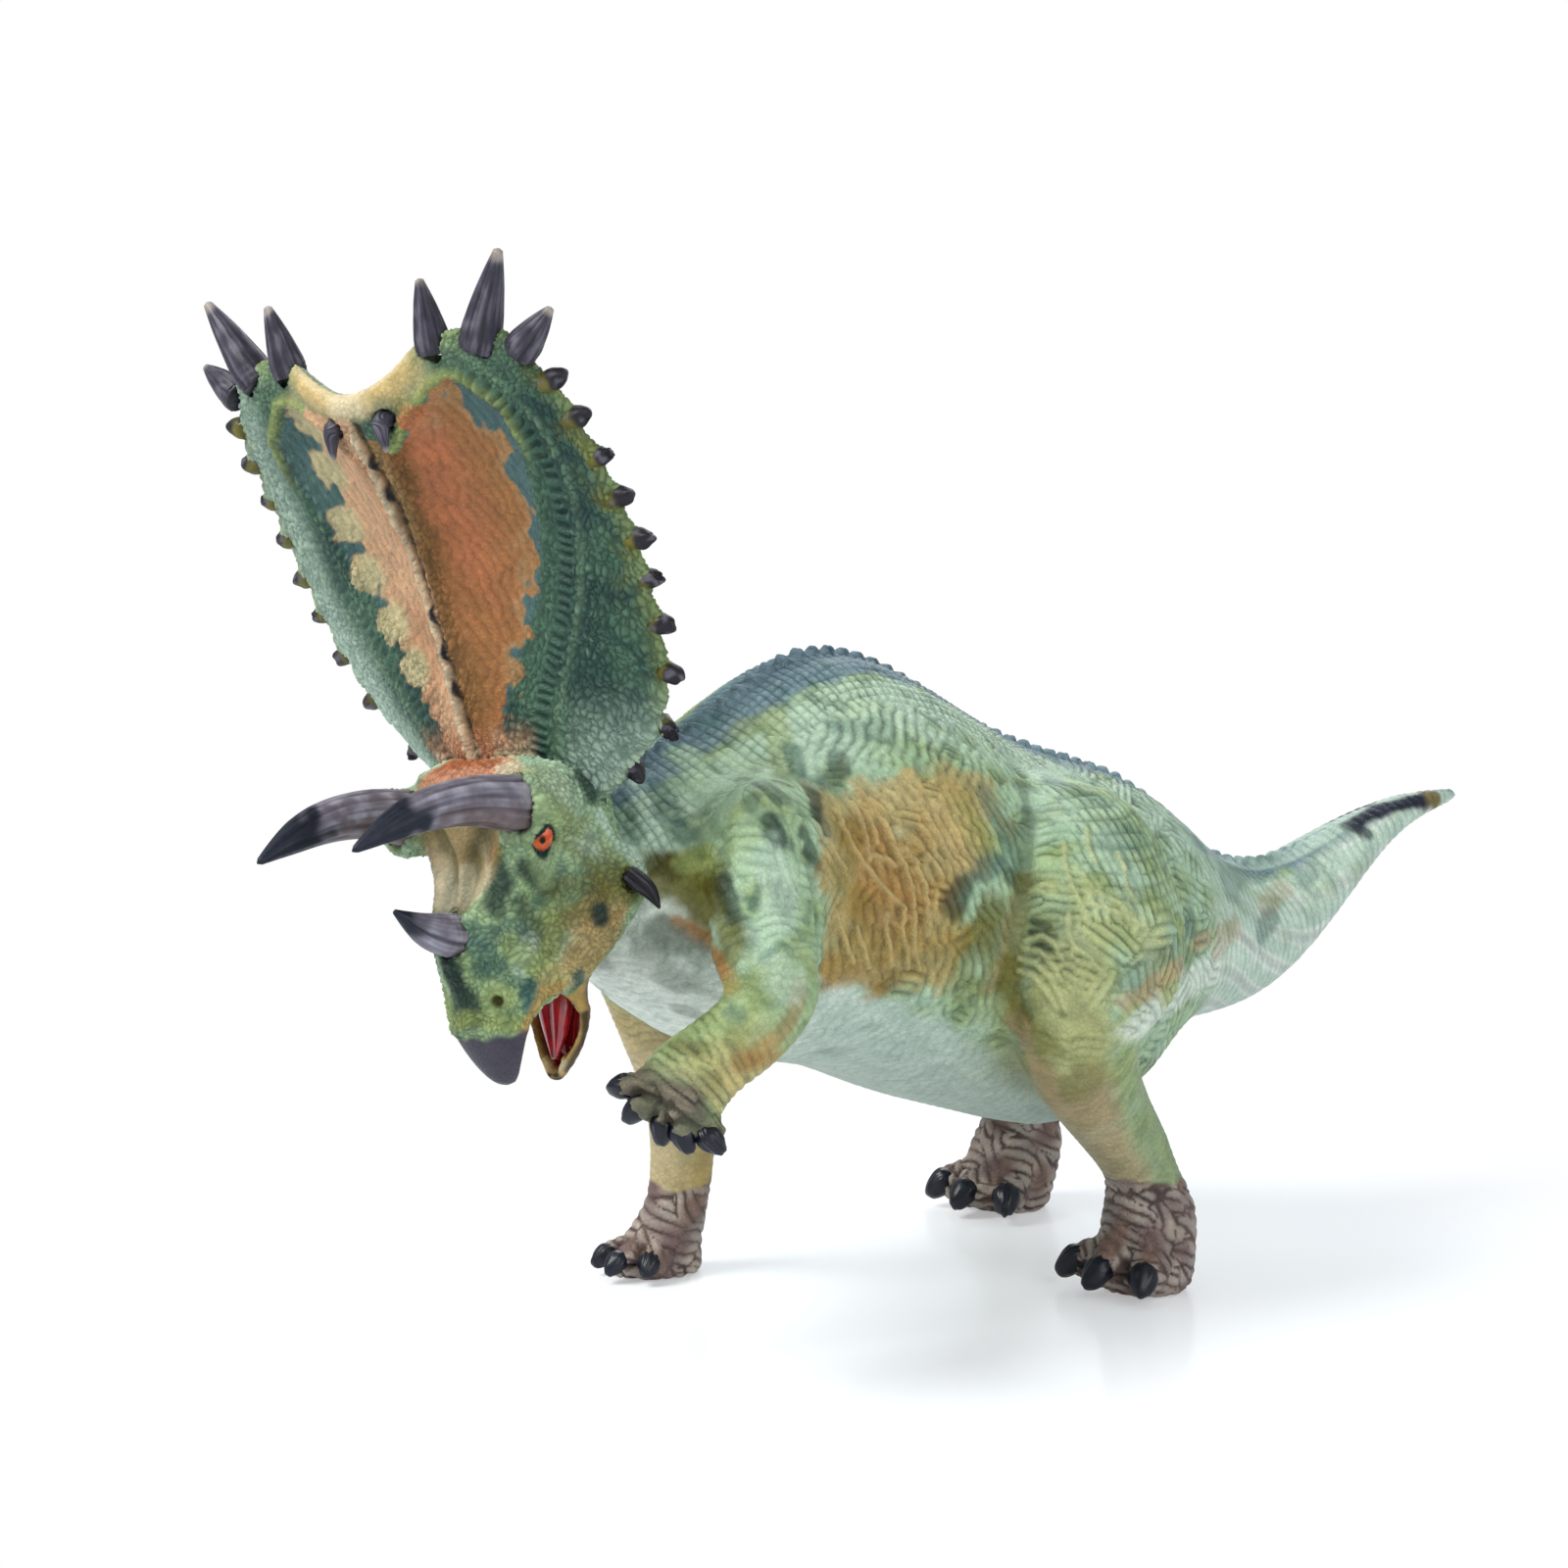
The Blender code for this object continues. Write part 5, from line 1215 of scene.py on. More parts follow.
    # Peach over the far field, lighter than the near field's orange: partly painted light on the far half of the frill
    frill.cover("peach", fill)
    frill.cover("orange", fill * ease(-0.2, 1.0, wide) * 0.35)
    frill.cover("cream yellow", fill * ease(-1.4, 0.6, blotch) * 0.85)
    frill.cover("cream", ridge * 0.95)
    frill.cover("field olive", ditch * 0.85)
    frill.cover("dark brown", ditch * ease(-0.3, 0.6, small) * 0.8)
    for height in KNOBS:
        place = np.array((0.9 - 0.055 * math.sin(math.pi * height) * FRILL_HALF_WIDTH, height * FRILL_LENGTH))
        knob = ease(1.15, 0.4, np.linalg.norm((flat - place) * (1.4, 0.7), axis=1)) * front
        frill.lift += 0.6 * knob
        frill.cover("horn dark", knob)
    brim = front * ease(0.52, 0.36, side) * ease(0.90, 0.955, up + 0.012 * mid)
    frill.cover("sand", brim)
    frill.cover("cream", brim * ease(0.97, 1.01, up) * 0.8)
    frill.cover("cream", brim * ease(0.20, 0.05, side) * 0.8)
    frill.cover("olive", brim * near * ease(0.08, 0.25, side) * ease(0.99, 0.96, up) * ease(-0.6, 0.6, mid) * 0.55)
    base = ease(0.24, 0.12, up) * ease(0.40, 0.28, np.where(near, side, side - 0.2)) * front
    frill.cover("terracotta", base * 0.9)
    frill.cover("red brown", base * ease(-0.2, 0.7, mid) * 0.8)
    frill.cover("cream", base * ease(0.1, 0.8, -mid) * 0.5)
    frill.cover("cream", base * near * ease(0.08, 0.18, side) * ease(0.24, 0.14, up) * 0.8)
    frill.cover("frill dark", (1 - front) * ease(0.0, 0.9, mid) * 0.4)
    frill.paint *= mix(1.0, 0.68 + 0.46 * field, 0.8 * outside * (1 - studs) * (1 - calm))[:, None]
    frill.paint *= mix(1.0, 0.80 + 0.26 * np.sqrt(wrinkle), 0.8 * hollow)[:, None]
    frill.cover("horn dark", studs)
    frill.push()
    return frill.finish("frill_skin", material, "painted_frill", ("frill",))


# The head's own places are across, back and up in the head's frame
EYE_PIXELS = ((555, 843), (555, 878))
EYE_HALF_WIDTH = 1.30
NOSTRIL_PIXEL = (507, 1022)
BEAK_LEVEL = -22.4
# Lines down the face: pixels, radius, rise
FACE_LINES = (
    (((522, 850), (510, 885), (492, 915), (476, 938)), 2.2, 0.9),
    (((575, 820), (585, 850), (583, 885)), 2.0, 0.35),
    (((610, 830), (640, 870), (665, 905)), 1.6, 0.5),
    (((640, 855), (655, 885), (672, 915)), 1.4, 0.4),
    (((540, 900), (560, 925), (600, 915)), 1.8, 0.35),
    (((530, 1000), (552, 995), (580, 1010), (598, 1030)), 1.3, 0.45),
    (((545, 1040), (530, 1050), (505, 1052), (478, 1046)), 1.2, 0.35),
    (((495, 845), (482, 880), (470, 925)), 2.4, -1.1),
    (((560, 905), (530, 935), (505, 950)), 1.6, -0.35),
)


def build_head(material):
    corners = [(head_to_body((side * 5.5, -0.5, -16.5)), 6.5, 90) for side in (1, -1)]
    head = fused(("skull", "lower_jaw"), 0.48, 6, zones=corners)
    points = head.points
    w, a, b = body_to_head(points).T
    wide, mid = waves(points, 9.0, 71), waves(points, 3.6, 72)
    jaw = ease(0.35, 0.65, head.shares["lower_jaw"])
    beak = ease(BEAK_LEVEL, BEAK_LEVEL - 0.8, b - 0.10 * np.abs(w) + 0.25 * mid) * ease(-4.0, -5.0, a) * (1 - jaw)

    # The open mouth: a scoop in the front and sides of the lower jaw, red inside, and the palate behind the beak
    reach = np.interp(b, (-29.5, -27.0, -23.0, -18.5, -16.0), (0.4, 1.6, 3.1, 3.8, 2.6))
    scoop = ease(1.05, 0.55, np.abs(w) / reach) * ease(-29.0, -27.0, b) * jaw
    facing = ease(0.0, -0.45, (head.normals @ HEAD_AXES)[:, 1])
    scoop *= facing
    scoop = np.maximum(scoop, mouth_side(points, head.normals) * ease(0.2, 0.6, head.shares["lower_jaw"] + 0.3))
    head.points = points = points + np.outer(scoop * 2.6, HEAD_AXES[:, 1])
    head.normals = normals_of(points, head.faces)
    inner = ease(0.35, 0.75, scoop)
    backward = (head.normals @ HEAD_AXES)[:, 1]
    under_beak = ease(0.3, 0.7, backward) * ease(-14.5, -16.0, b) * (1 - jaw)
    palate = under_beak * ease(4.2, 3.0, np.abs(w))

    # Small scales in rows
    warp = 0.4 * waves(points, 4.0, 73)[:, None]
    tile = cells(points + warp, 0.76, 7)
    field = ease(0.03, 0.38, tile)
    smooth = np.clip(beak + jaw + palate, 0, 1)
    shown = outline_depth(photo.pixels(points), np.array(FOREHEAD_OUTLINE, float))
    fore = ease(-3.0, 9.0, shown) * ease(-6.0, -8.0, a) * ease(0.6, 0.3, (head.normals @ HEAD_AXES)[:, 1])
    wrinkle = waves(points, 1.3, 74, (0.2, 0.5, 1), 0.4)
    calm = np.maximum(smooth, 0.65 * fore)
    head.lift += (field - 0.6) * 0.24 * (1 - calm)
    head.lift += 0.03 * np.tanh(1.5 * wrinkle) * jaw * (1 - inner)
    head.recess = (1 - field) * 0.45 * (1 - calm)
    head.recess = np.maximum(head.recess, ease(0.1, -0.8, wrinkle) * jaw * (1 - inner) * 0.25)
    for pixels, radius, rise in FACE_LINES:
        line = head.seen(pixels)
        head.stroke(line, radius, rise)
        head.stroke(head.snapped(mirrored_head(line)), radius, rise)

    # A fleshy rim round the foot of each horn
    rim = np.zeros(len(points))
    for side in (1, -1):
        root = head_to_body((side * BROW_START[0], *BROW_START[1:]))
        away = np.linalg.norm(points - root, axis=1)
        rim = np.maximum(rim, np.exp(-((away - BROW_RADIUS - 0.9) / 0.8) ** 2))
    head.lift += 0.45 * rim

    head.paint[:] = linear("light green")
    head.cover("mint", ease(-0.6, 0.6, wide) * 0.65)
    head.cover("frill green", ease(0.3, 1.2, mid) * 0.5)
    head.cover("pale mint", ease(2.0, 7.0, b) * 0.4)
    head.cover("teal", ease(0.7, 1.4, -wide + 0.5 * mid) * 0.45)
    head.cover("light green", ease(0.4, 0.85, tile) * 0.35 * (1 - calm))
    head.cover("mint", ease(-7, -1, b) * ease(6.5, 8.5, np.abs(w)) * 0.4)
    for pixels, radius, colour, strength in HEAD_MARKS:
        line = head.seen(pixels)
        head.dab(line, radius, colour, strength, 0.7, 0.25)
        head.dab(head.snapped(mirrored_head(line)), radius, colour, strength, 0.7, 0.25)
    head.cover("frill green", ease(1.0, 6.0, b) * ease(0.0, 0.5, backward) * 0.7)
    head.cover("frill dark", ease(3.0, 9.0, b) * ease(0.0, 0.5, backward) * ease(-0.4, 0.8, wide) * 0.5)
    head.cover("forehead", fore * 0.9)
    # Cream towards the forehead's lower end, in patches here and as a smooth fade below: paint that is partly a painted
    # highlight
    head.cover("cream", fore * ease(2.0, -4.0, b) * ease(0.4, -0.6, mid) * 0.6)
    head.cover("brown", fore * ease(0.4, 1.2, waves(points, 2.2, 75, (1, 0, 0), 0.3)) * 0.35)
    head.cover("cream", fore * ease(-1.0, -5.5, b) * 0.6)
    # Olive along the forehead's edge on the animal's left: painted shade on the flank of the ridge
    head.cover("olive", fore * ease(10.0, 2.0, shown) * ease(3.5, 5.5, w) * 0.7)
    head.cover("lip", np.maximum(jaw, ease(0.02, 0.12, scoop)))
    head.cover("hand brown", jaw * ease(-0.5, 1.5, a) * (1 - inner) * 0.95)
    head.cover("dark brown", jaw * ease(2.5, 4.0, a) * (1 - inner) * 0.6)
    head.cover("sand", jaw * ease(-25.5, -27.5, b) * (1 - inner) * 0.8)
    head.cover("black", jaw * ease(-28.6, -29.3, b))
    for pixels, radius, colour, strength in JAW_MARKS:
        for line in head_pair(head, pixels) if head.seen(pixels) else ():
            head.dab(line, radius, colour, strength, 0.7, 0.2)
    head.cover("beak", beak)
    head.cover("lip", under_beak * 0.8)
    head.cover("mouth red", np.maximum(inner, palate))

    head.paint *= mix(1.0, 0.70 + 0.44 * field, 0.8 * (1 - calm))[:, None]
    head.cover("olive", rim * (1 - smooth) * 0.35)
    carve_nostril(head)
    eyes = [carve_eye(head, on_left) for on_left in (True, False)]
    head.push()
    wet = np.maximum(inner, palate)
    piece = head.finish("head_skin", material, "painted_skin", ("skull", "lower_jaw"), wet)
    for side, (place, out, long_way, half_length) in zip(("left", "right"), eyes):
        add_eye(f"eye_{side}", place, out, long_way, half_length, 0.47 if side == "left" else 0.72)
    return piece


# The tan part of the forehead as the photograph shows it
FOREHEAD_OUTLINE = (
    (425, 840), (470, 838), (518, 836), (514, 872), (504, 900), (492, 918), (468, 936), (440, 932), (440, 900), (430, 868),
)
# Marks on the lower jaw: pixels, radius, paint, strength
JAW_MARKS = (
    (((596, 1035), (596, 1060), (590, 1078), (580, 1090)), 0.9, "dark brown", 0.85),
    (((548, 1050), (556, 1075), (563, 1092)), 0.6, "hand brown", 0.5),
    (((566, 1090), (572, 1086)), 0.9, "cream", 0.7),
    (((564, 1096), (568, 1097)), 0.5, "black", 0.9),
)
# The mouth's opening as the photograph shows it
MOUTH_OUTLINE = (
    (546, 1046), (550, 1028), (560, 1017), (572, 1015), (584, 1021), (591, 1034), (591, 1050), (585, 1066),
    (576, 1080), (568, 1080), (558, 1066),
)


def mouth_side(points, normals):
    """How far inside the mouth's opening each place of the left side lies, and its twin on the right side."""
    inside = np.zeros(len(points))
    ways = normals @ HEAD_AXES
    for places, flip in ((points, 1), (mirrored_head(points), -1)):
        depth = outline_depth(photo.pixels(places), np.array(MOUTH_OUTLINE, float))
        towards = np.array(photo.eye) - places
        towards /= np.linalg.norm(towards, axis=1, keepdims=True)
        shown = ease(0.05, 0.35, np.einsum("ij,ij->i", (ways * (flip, 1, 1)) @ HEAD_AXES.T, towards))
        inside = np.maximum(inside, ease(-1.0, 7.0, depth) * shown * (body_to_head(places)[:, 0] > 0))
    return inside


def carve_nostril(head):
    for line in head_pair(head, (NOSTRIL_PIXEL,)):
        middle = np.array(line[0])
        gap = np.linalg.norm(head.points - middle, axis=1)
        head.lift += 0.25 * np.exp(-((gap - 1.6) / 0.55) ** 2) - 0.9 * ease(0.95, 0.3, gap)
        head.paint = mix(head.paint, linear("yellow green"), (ease(2.6, 1.6, gap) * 0.5)[:, None])
        head.paint = mix(head.paint, linear("dark olive"), (ease(1.0, 0.5, gap) * 0.9)[:, None])


def head_pair(head, pixels):
    """The places seen at some pixels, and the same places on the head's other side."""
    line = head.seen(pixels)
    return line, head.snapped(mirrored_head(line))


def carve_eye(head, on_left):
    """A socket with a raised lid round it. Gives the eye's place, its way out and its long way."""
    line = head_pair(head, EYE_PIXELS)[0 if on_left else 1]
    top, bottom = np.array(line[0]), np.array(line[1])
    middle = (top + bottom) / 2
    place, out, _, _ = head.tree.find_nearest(Vector(middle))
    near = np.linalg.norm(head.points - place, axis=1) < 2.2
    out = head.normals[near].mean(0)
    out /= np.linalg.norm(out)
    long_way = top - bottom
    half_length = np.linalg.norm(long_way) / 2
    long_way -= out * (long_way @ out)
    long_way /= np.linalg.norm(long_way)
    cross = np.cross(out, long_way)
    offset = head.points - place
    round_eye = np.hypot(offset @ cross / EYE_HALF_WIDTH, offset @ long_way / half_length)
    facing = ease(-0.1, 0.4, head.normals @ out) * (np.linalg.norm(offset, axis=1) < 7)
    head.lift += facing * (0.42 * np.exp(-((round_eye - 1.42) / 0.26) ** 2) - 0.45 * ease(1.08, 0.80, round_eye))
    lid = facing * np.exp(-((round_eye - 1.45) / 0.35) ** 2)
    head.paint = mix(head.paint, linear("light green"), (lid * 0.6)[:, None])
    head.paint = mix(head.paint, linear("dark teal"), (facing * ease(1.12, 1.0, round_eye))[:, None])
    return np.array(place), out, long_way, half_length


def add_eye(name, place, out, long_way, half_length, sunk):
    """A glossy domed eye, orange-red with a small dark pupil."""
    bm = bmesh.new()
    bmesh.ops.create_uvsphere(bm, u_segments=48, v_segments=32, radius=1)
    ball = np.array([vertex.co for vertex in bm.verts])
    faces = [[vertex.index for vertex in face.verts] for face in bm.faces]
    bm.free()
    cross = np.cross(out, long_way)
    size = (EYE_HALF_WIDTH * 1.06, half_length * 1.06, 0.85)
    points = place - out * sunk + (ball * size) @ np.stack((cross, long_way, out))
    mesh = new_mesh(name, points, faces)
    away = np.hypot(ball[:, 0], ball[:, 1] * 1.5)
    colour = np.tile(linear("eye orange"), (len(ball), 1))
    colour = mix(colour, linear("red brown"), ease(0.75, 1.2, away)[:, None])
    colour = mix(colour, linear("black"), ease(0.34, 0.22, np.hypot(ball[:, 0], ball[:, 1] * 1.2))[:, None])
    mesh.attributes.new("paint", "FLOAT_COLOR", "POINT").data.foreach_set(
        "color", np.column_stack((colour, np.ones(len(colour)))).ravel()
    )
    add_piece(name, mesh, eye_paint)


HEAD_MARKS = (
    (((440, 796), (470, 785), (505, 780)), 3.4, "terracotta", 0.95),
    (((455, 782), (485, 776)), 1.8, "red brown", 0.8),
    (((515, 784), (527, 792)), 2.2, "cream", 0.85),
    (((560, 800), (575, 815)), 2.6, "mint", 0.6),
    (((606, 950), (590, 975), (602, 988), (625, 950)), 3.8, "cheek tan", 0.8),
    (((592, 938), (612, 922), (632, 926)), 3.0, "cheek tan", 0.75),
    (((560, 902), (600, 892), (640, 905)), 3.2, "frill green", 0.5),
    (((560, 950), (550, 985), (560, 1000)), 3.0, "yellow green", 0.6),
    (((560, 1000), (585, 985), (600, 1000)), 2.6, "sand", 0.5),
    (((560, 965), (575, 935), (610, 920)), 2.4, "olive", 0.45),
    (((612, 930), (613, 937)), 2.0, "dark teal", 0.95),
    (((590, 995), (594, 1008)), 1.3, "teal", 0.85),
    (((462, 965), (462, 1000), (470, 1035)), 2.6, "dark teal", 0.85),
    (((482, 965), (510, 985)), 1.9, "teal", 0.7),
    (((505, 875), (512, 900), (505, 925)), 1.9, "dark teal", 0.85),
    (((536, 884), (546, 896), (556, 900)), 1.8, "dark teal", 0.85),
    (((530, 920), (541, 940), (545, 955)), 1.6, "dark teal", 0.65),
    (((585, 850), (610, 880), (640, 905)), 3.4, "olive", 0.55),
    (((565, 905), (600, 900), (640, 912)), 2.2, "olive", 0.45),
    (((570, 800), (580, 830), (600, 860)), 2.6, "pale mint", 0.35),
    (((540, 965), (530, 990)), 1.8, "pale mint", 0.35),
    (((500, 990), (520, 1000)), 1.6, "teal", 0.4),
    (((480, 950), (500, 960), (525, 950)), 2.0, "teal", 0.6),
    (((540, 1005), (541, 1026)), 1.5, "teal", 0.85),
    (((596, 792), (604, 808)), 2.4, "dark teal", 0.9),
    (((568, 830), (590, 845)), 2.0, "yellow green", 0.45),
    (((520, 965), (540, 985)), 1.8, "yellow green", 0.5),
    (((505, 1044), (530, 1044), (480, 1038)), 1.5, "yellow green", 0.7),
    (((535, 1052), (546, 1030), (556, 1012), (575, 1008)), 1.3, "lip", 0.85),
    (((640, 890), (668, 915)), 1.6, "olive", 0.5),
    (((610, 830), (640, 872), (660, 900)), 1.0, "pale mint", 0.7),
)


# Horns: each row gives the place across, back and up as shares of the length, then the radius's share
BROW_START = (10.14, -10.08, 4.12)
BROW_LENGTH = 27.2
BROW_RADIUS = 3.3
BROW_ROWS = (
    (0.0, 0.0, 0.0, 1.0),
    (-0.010, -0.130, 0.028, 1.00),
    (-0.028, -0.345, 0.062, 0.84),
    (-0.046, -0.600, 0.048, 0.74),
    (-0.060, -0.805, -0.008, 0.52),
    (-0.072, -0.985, -0.080, 0.10),
)
RIGHT_BROW_DROP = 0.8
NOSE_START = (0.0, -15.24, -10.2)
NOSE_LENGTH = 9.9
NOSE_RADIUS = 2.6
NOSE_ROWS = ((0, 0, 0, 1), (0, -0.25, 0.05, 0.96), (0, -0.60, 0.20, 0.58), (0, -0.91, 0.41, 0.10))
CHEEK_START = (13.26, 1.2, -5.4)
CHEEK_LENGTH = 7.7
CHEEK_RADIUS = 1.5
CHEEK_ROWS = ((0.04, 0, 0, 0.75), (0.27, 0.03, -0.16, 0.80), (0.44, 0.05, -0.34, 0.52), (0.55, 0.04, -0.54, 0.10))
SPIKE_LENGTH = 11.0
SPIKE_RADIUS = 2.6
SPIKE_ROWS = ((-0.12, 0.92), (0.0, 1.04), (0.35, 0.82), (0.72, 0.52), (1.0, 0.20))
# Name, place up and across the frill, direction, length's share, radius's share
SPIKES = (
    ("inner", (0.970, 0.52), (0.08, -0.22, 0.97), 0.70, 0.82),
    ("middle", (0.970, 0.81), (0.52, -0.12, 0.85), 1.00, 0.94),
    ("outer", (0.940, 0.96), (0.80, 0.00, 0.60), 0.58, 0.81),
)
HOOK_PLACE = (0.91, 0.15)
HOOK_LENGTH = 3.0
HOOK_RADIUS = 1.2
HOOK_ROWS = ((0.0, -0.1, 0.0, 1.0), (0.02, -0.75, -0.05, 1.0), (0.10, -0.95, -0.60, 0.75), (0.18, -0.80, -1.40, 0.2))
HORN_SIDES = 56
HORN_RINGS = 72


def curve_through(rows, count):
    """Places along a clamped quadratic spline through rows of control values."""
    rows = np.array(rows, float)
    last = len(rows) - 2
    places = np.linspace(0, last, count)
    knots = np.concatenate(((0, 0), np.arange(last + 1), (last, last)))
    made = np.zeros((count, rows.shape[1]))
    for i, t in enumerate(places):
        span = min(int(t), last - 1) + 2
        work = rows[span - 2:span + 1].copy()
        for level in (1, 2):
            for j in range(2, level - 1, -1):
                low, high = knots[span - 2 + j], knots[span - 1 + j + 2 - level]
                share = 0 if high == low else (t - low) / (high - low)
                work[j] = mix(work[j - 1], work[j], share)
        made[i] = work[2]
    return made


def add_horn(name, replaced, start, rows, length, radius, side, seed, kind):
    """A grooved horn along its curve, with paint that changes from root to tip."""
    control = np.array([(*(np.array(start) + np.array(row[:3]) * length), row[3] * radius) for row in rows])
    control[:, 0] *= side
    track = curve_through(control, HORN_RINGS)
    centres, radii = track[:, :3], track[:, 3]
    ahead = np.gradient(centres, axis=0)
    ahead /= np.linalg.norm(ahead, axis=1, keepdims=True)
    helper = np.array((0.0, 0.3, 1.0)) if abs(ahead[0, 2]) < 0.8 else np.array((0.0, 1.0, 0.0))
    over = helper - ahead * (ahead @ helper)[:, None]
    over /= np.linalg.norm(over, axis=1, keepdims=True)
    beside = np.cross(ahead, over)
    rng = np.random.default_rng(seed)
    along = np.linspace(0, 1, HORN_RINGS)[:, None]
    turn = np.linspace(0, 2 * math.pi, HORN_SIDES, endpoint=False)[None, :]
    groove = np.zeros((HORN_RINGS, HORN_SIDES))
    for count in (5, 8, 11, 15, 19, 24):
        phase, drift, wobble = rng.uniform(0, 2 * math.pi), rng.uniform(-0.8, 0.8), rng.uniform(2, 6)
        angle = count * turn + phase + drift * along * 3 + 0.5 * np.sin(wobble * along * math.pi + phase)
        groove += np.cos(angle) / count**0.35
    groove /= 2.2
    deep = ease(0.1, -0.9, groove)
    fade = ease(1.0, 0.82, along)
    push = 1 + (0.035 * np.tanh(1.6 * groove) - 0.075 * deep) * fade
    # A low collar of skin at the root and rings that dent it
    push += 0.02 * np.sin(along * math.pi * 22 + 2 * groove) * ease(0.35, 0.0, along)
    rim = radii[:, None] * push
    tip_round = np.sqrt(np.clip(1 - ease(0.985, 1.0, along) ** 2 * 0.9, 0, 1))
    rim = rim * tip_round
    points = centres[:, None] + rim[..., None] * (
        np.cos(turn)[..., None] * over[:, None] + np.sin(turn)[..., None] * beside[:, None]
    )
    points = head_to_body(points.reshape(-1, 3))
    faces = []
    for i in range(HORN_RINGS - 1):
        for j in range(HORN_SIDES):
            k = (j + 1) % HORN_SIDES
            faces.append((i * HORN_SIDES + j, i * HORN_SIDES + k, (i + 1) * HORN_SIDES + k, (i + 1) * HORN_SIDES + j))
    faces.append(tuple(range(HORN_SIDES))[::-1])
    faces.append(tuple((HORN_RINGS - 1) * HORN_SIDES + j for j in range(HORN_SIDES)))
    upper = np.broadcast_to(np.cos(turn), groove.shape)
    cloud = waves(points, 3.0, seed + 1).reshape(groove.shape)
    streak = ease(-0.2, 0.9, groove + 0.4 * cloud)
    share = np.broadcast_to(along, groove.shape)
    if kind == "brow":
        colour = mix(linear("horn"), linear("horn lilac"), streak[..., None])
        brown = ease(0.25, -0.7, upper + 0.3 * cloud) * ease(0.75, 0.45, share)
        brown = np.maximum(brown, ease(0.45, 0.05, share + 0.05 * cloud) * ease(0.3, 0.9, cloud) * 0.7)
        colour = mix(colour, linear("horn brown"), brown[..., None] * 0.8)
        colour = mix(colour, linear("horn tip"), ease(0.60, 0.76, share + 0.05 * cloud)[..., None])
        colour = mix(colour, linear("horn lilac"), (ease(0.5, 1.2, groove) * ease(0.7, 0.9, share) * 0.3)[..., None])
    elif kind == "nose":
        colour = mix(linear("horn"), linear("horn lilac"), streak[..., None])
        colour = mix(colour, linear("horn tip"), ease(0.55, 0.85, share + 0.06 * cloud)[..., None])
        colour = mix(colour, linear("horn brown"), (ease(0.25, 0.0, share) * 0.5)[..., None])
    elif kind == "cheek":
        colour = mix(linear("horn dark"), linear("horn"), (streak * 0.5)[..., None])
        colour = mix(colour, linear("black"), ease(0.4, 0.9, share)[..., None])
    else:
        colour = mix(linear("spike"), linear("horn"), (streak * 0.75)[..., None])
        colour = mix(colour, linear("horn dark"), ease(0.35, 0.0, share + 0.06 * cloud)[..., None] * 0.4)
        colour = mix(colour, linear("cream grey"), (ease(0.90, 1.0, share + 0.03 * cloud) * 0.7)[..., None])
        colour = mix(colour, linear("cream grey"), (ease(0.75, 1.3, groove) * 0.35)[..., None])
    mesh = new_mesh(name, points, faces)
    paint = np.column_stack((colour.reshape(-1, 3), np.ones(colour.size // 3)))
    mesh.attributes.new("paint", "FLOAT_COLOR", "POINT").data.foreach_set("color", paint.ravel())
    mesh.attributes.new("recess", "FLOAT", "POINT").data.foreach_set("value", (deep * fade).ravel())
    return add_piece(name, mesh, horn_paint, (replaced,))


def build_horns():
    for seed, (word, side) in enumerate((("left", 1), ("right", -1))):
        drop = RIGHT_BROW_DROP if side < 0 else 0
        start = (BROW_START[0], BROW_START[1], BROW_START[2] - drop)
        node = f"brow_horn_{word}"
        add_horn(node + "_grooved", node, start, BROW_ROWS, BROW_LENGTH, BROW_RADIUS, side, 10 + seed, "brow")
        node = f"cheek_horn_{word}"
        add_horn(node + "_grooved", node, CHEEK_START, CHEEK_ROWS, CHEEK_LENGTH, CHEEK_RADIUS, side, 20 + seed, "cheek")
        for kind, place, direction, long_share, thick_share in SPIKES:
            way = np.array(direction) / np.linalg.norm(direction)
            rows = [(*(way * at), wide) for at, wide in SPIKE_ROWS]
            start = body_to_head(frill_point(*place))
            node = f"frill_spike_{kind}_{word}"
            add_horn(
                node + "_grooved", node, start, rows, SPIKE_LENGTH * long_share, SPIKE_RADIUS * thick_share, side,
                30 + seed * 5 + len(kind), "spike",
            )
        node = f"frill_hook_{word}"
        start = body_to_head(frill_point(*HOOK_PLACE))
        add_horn(node + "_grooved", node, start, HOOK_ROWS, HOOK_LENGTH, HOOK_RADIUS, side, 50 + seed, "spike")
    add_horn("nose_horn_grooved", "nose_horn", NOSE_START, NOSE_ROWS, NOSE_LENGTH, NOSE_RADIUS, 1, 60, "nose")


# Studs along the frill's edges
STUD_PLACES = (0.10, 0.175, 0.285, 0.385, 0.475, 0.555, 0.64, 0.72, 0.80, 0.875)
STUD_RADIUS = 1.30
STUD_HEIGHT = 2.5
STUD_PROUD = -0.25


def rounded_cone(bluntness, rings=14, sides=20):
    """A blunt cone one unit wide and high that stands on a skirt below zero, as points and quads."""
    profile = [(1.0, -0.5)]
    for i in range(rings + 1):
        t = i / rings
        angle = t * math.pi / 2
        profile.append((math.cos(angle) ** bluntness, math.sin(angle)))
    points, faces = [], []
    for radius, height in profile:
        for j in range(sides):
            turn = 2 * math.pi * j / sides
            points.append((max(radius, 0.02) * math.cos(turn), max(radius, 0.02) * math.sin(turn), height))
    for i in range(len(profile) - 1):
        for j in range(sides):
            k = (j + 1) % sides
            faces.append((i * sides + j, i * sides + k, (i + 1) * sides + k, (i + 1) * sides + j))
    faces.append(tuple(range(sides))[::-1])
    faces.append(tuple(len(points) - sides + j for j in range(sides)))
    return np.array(points), faces


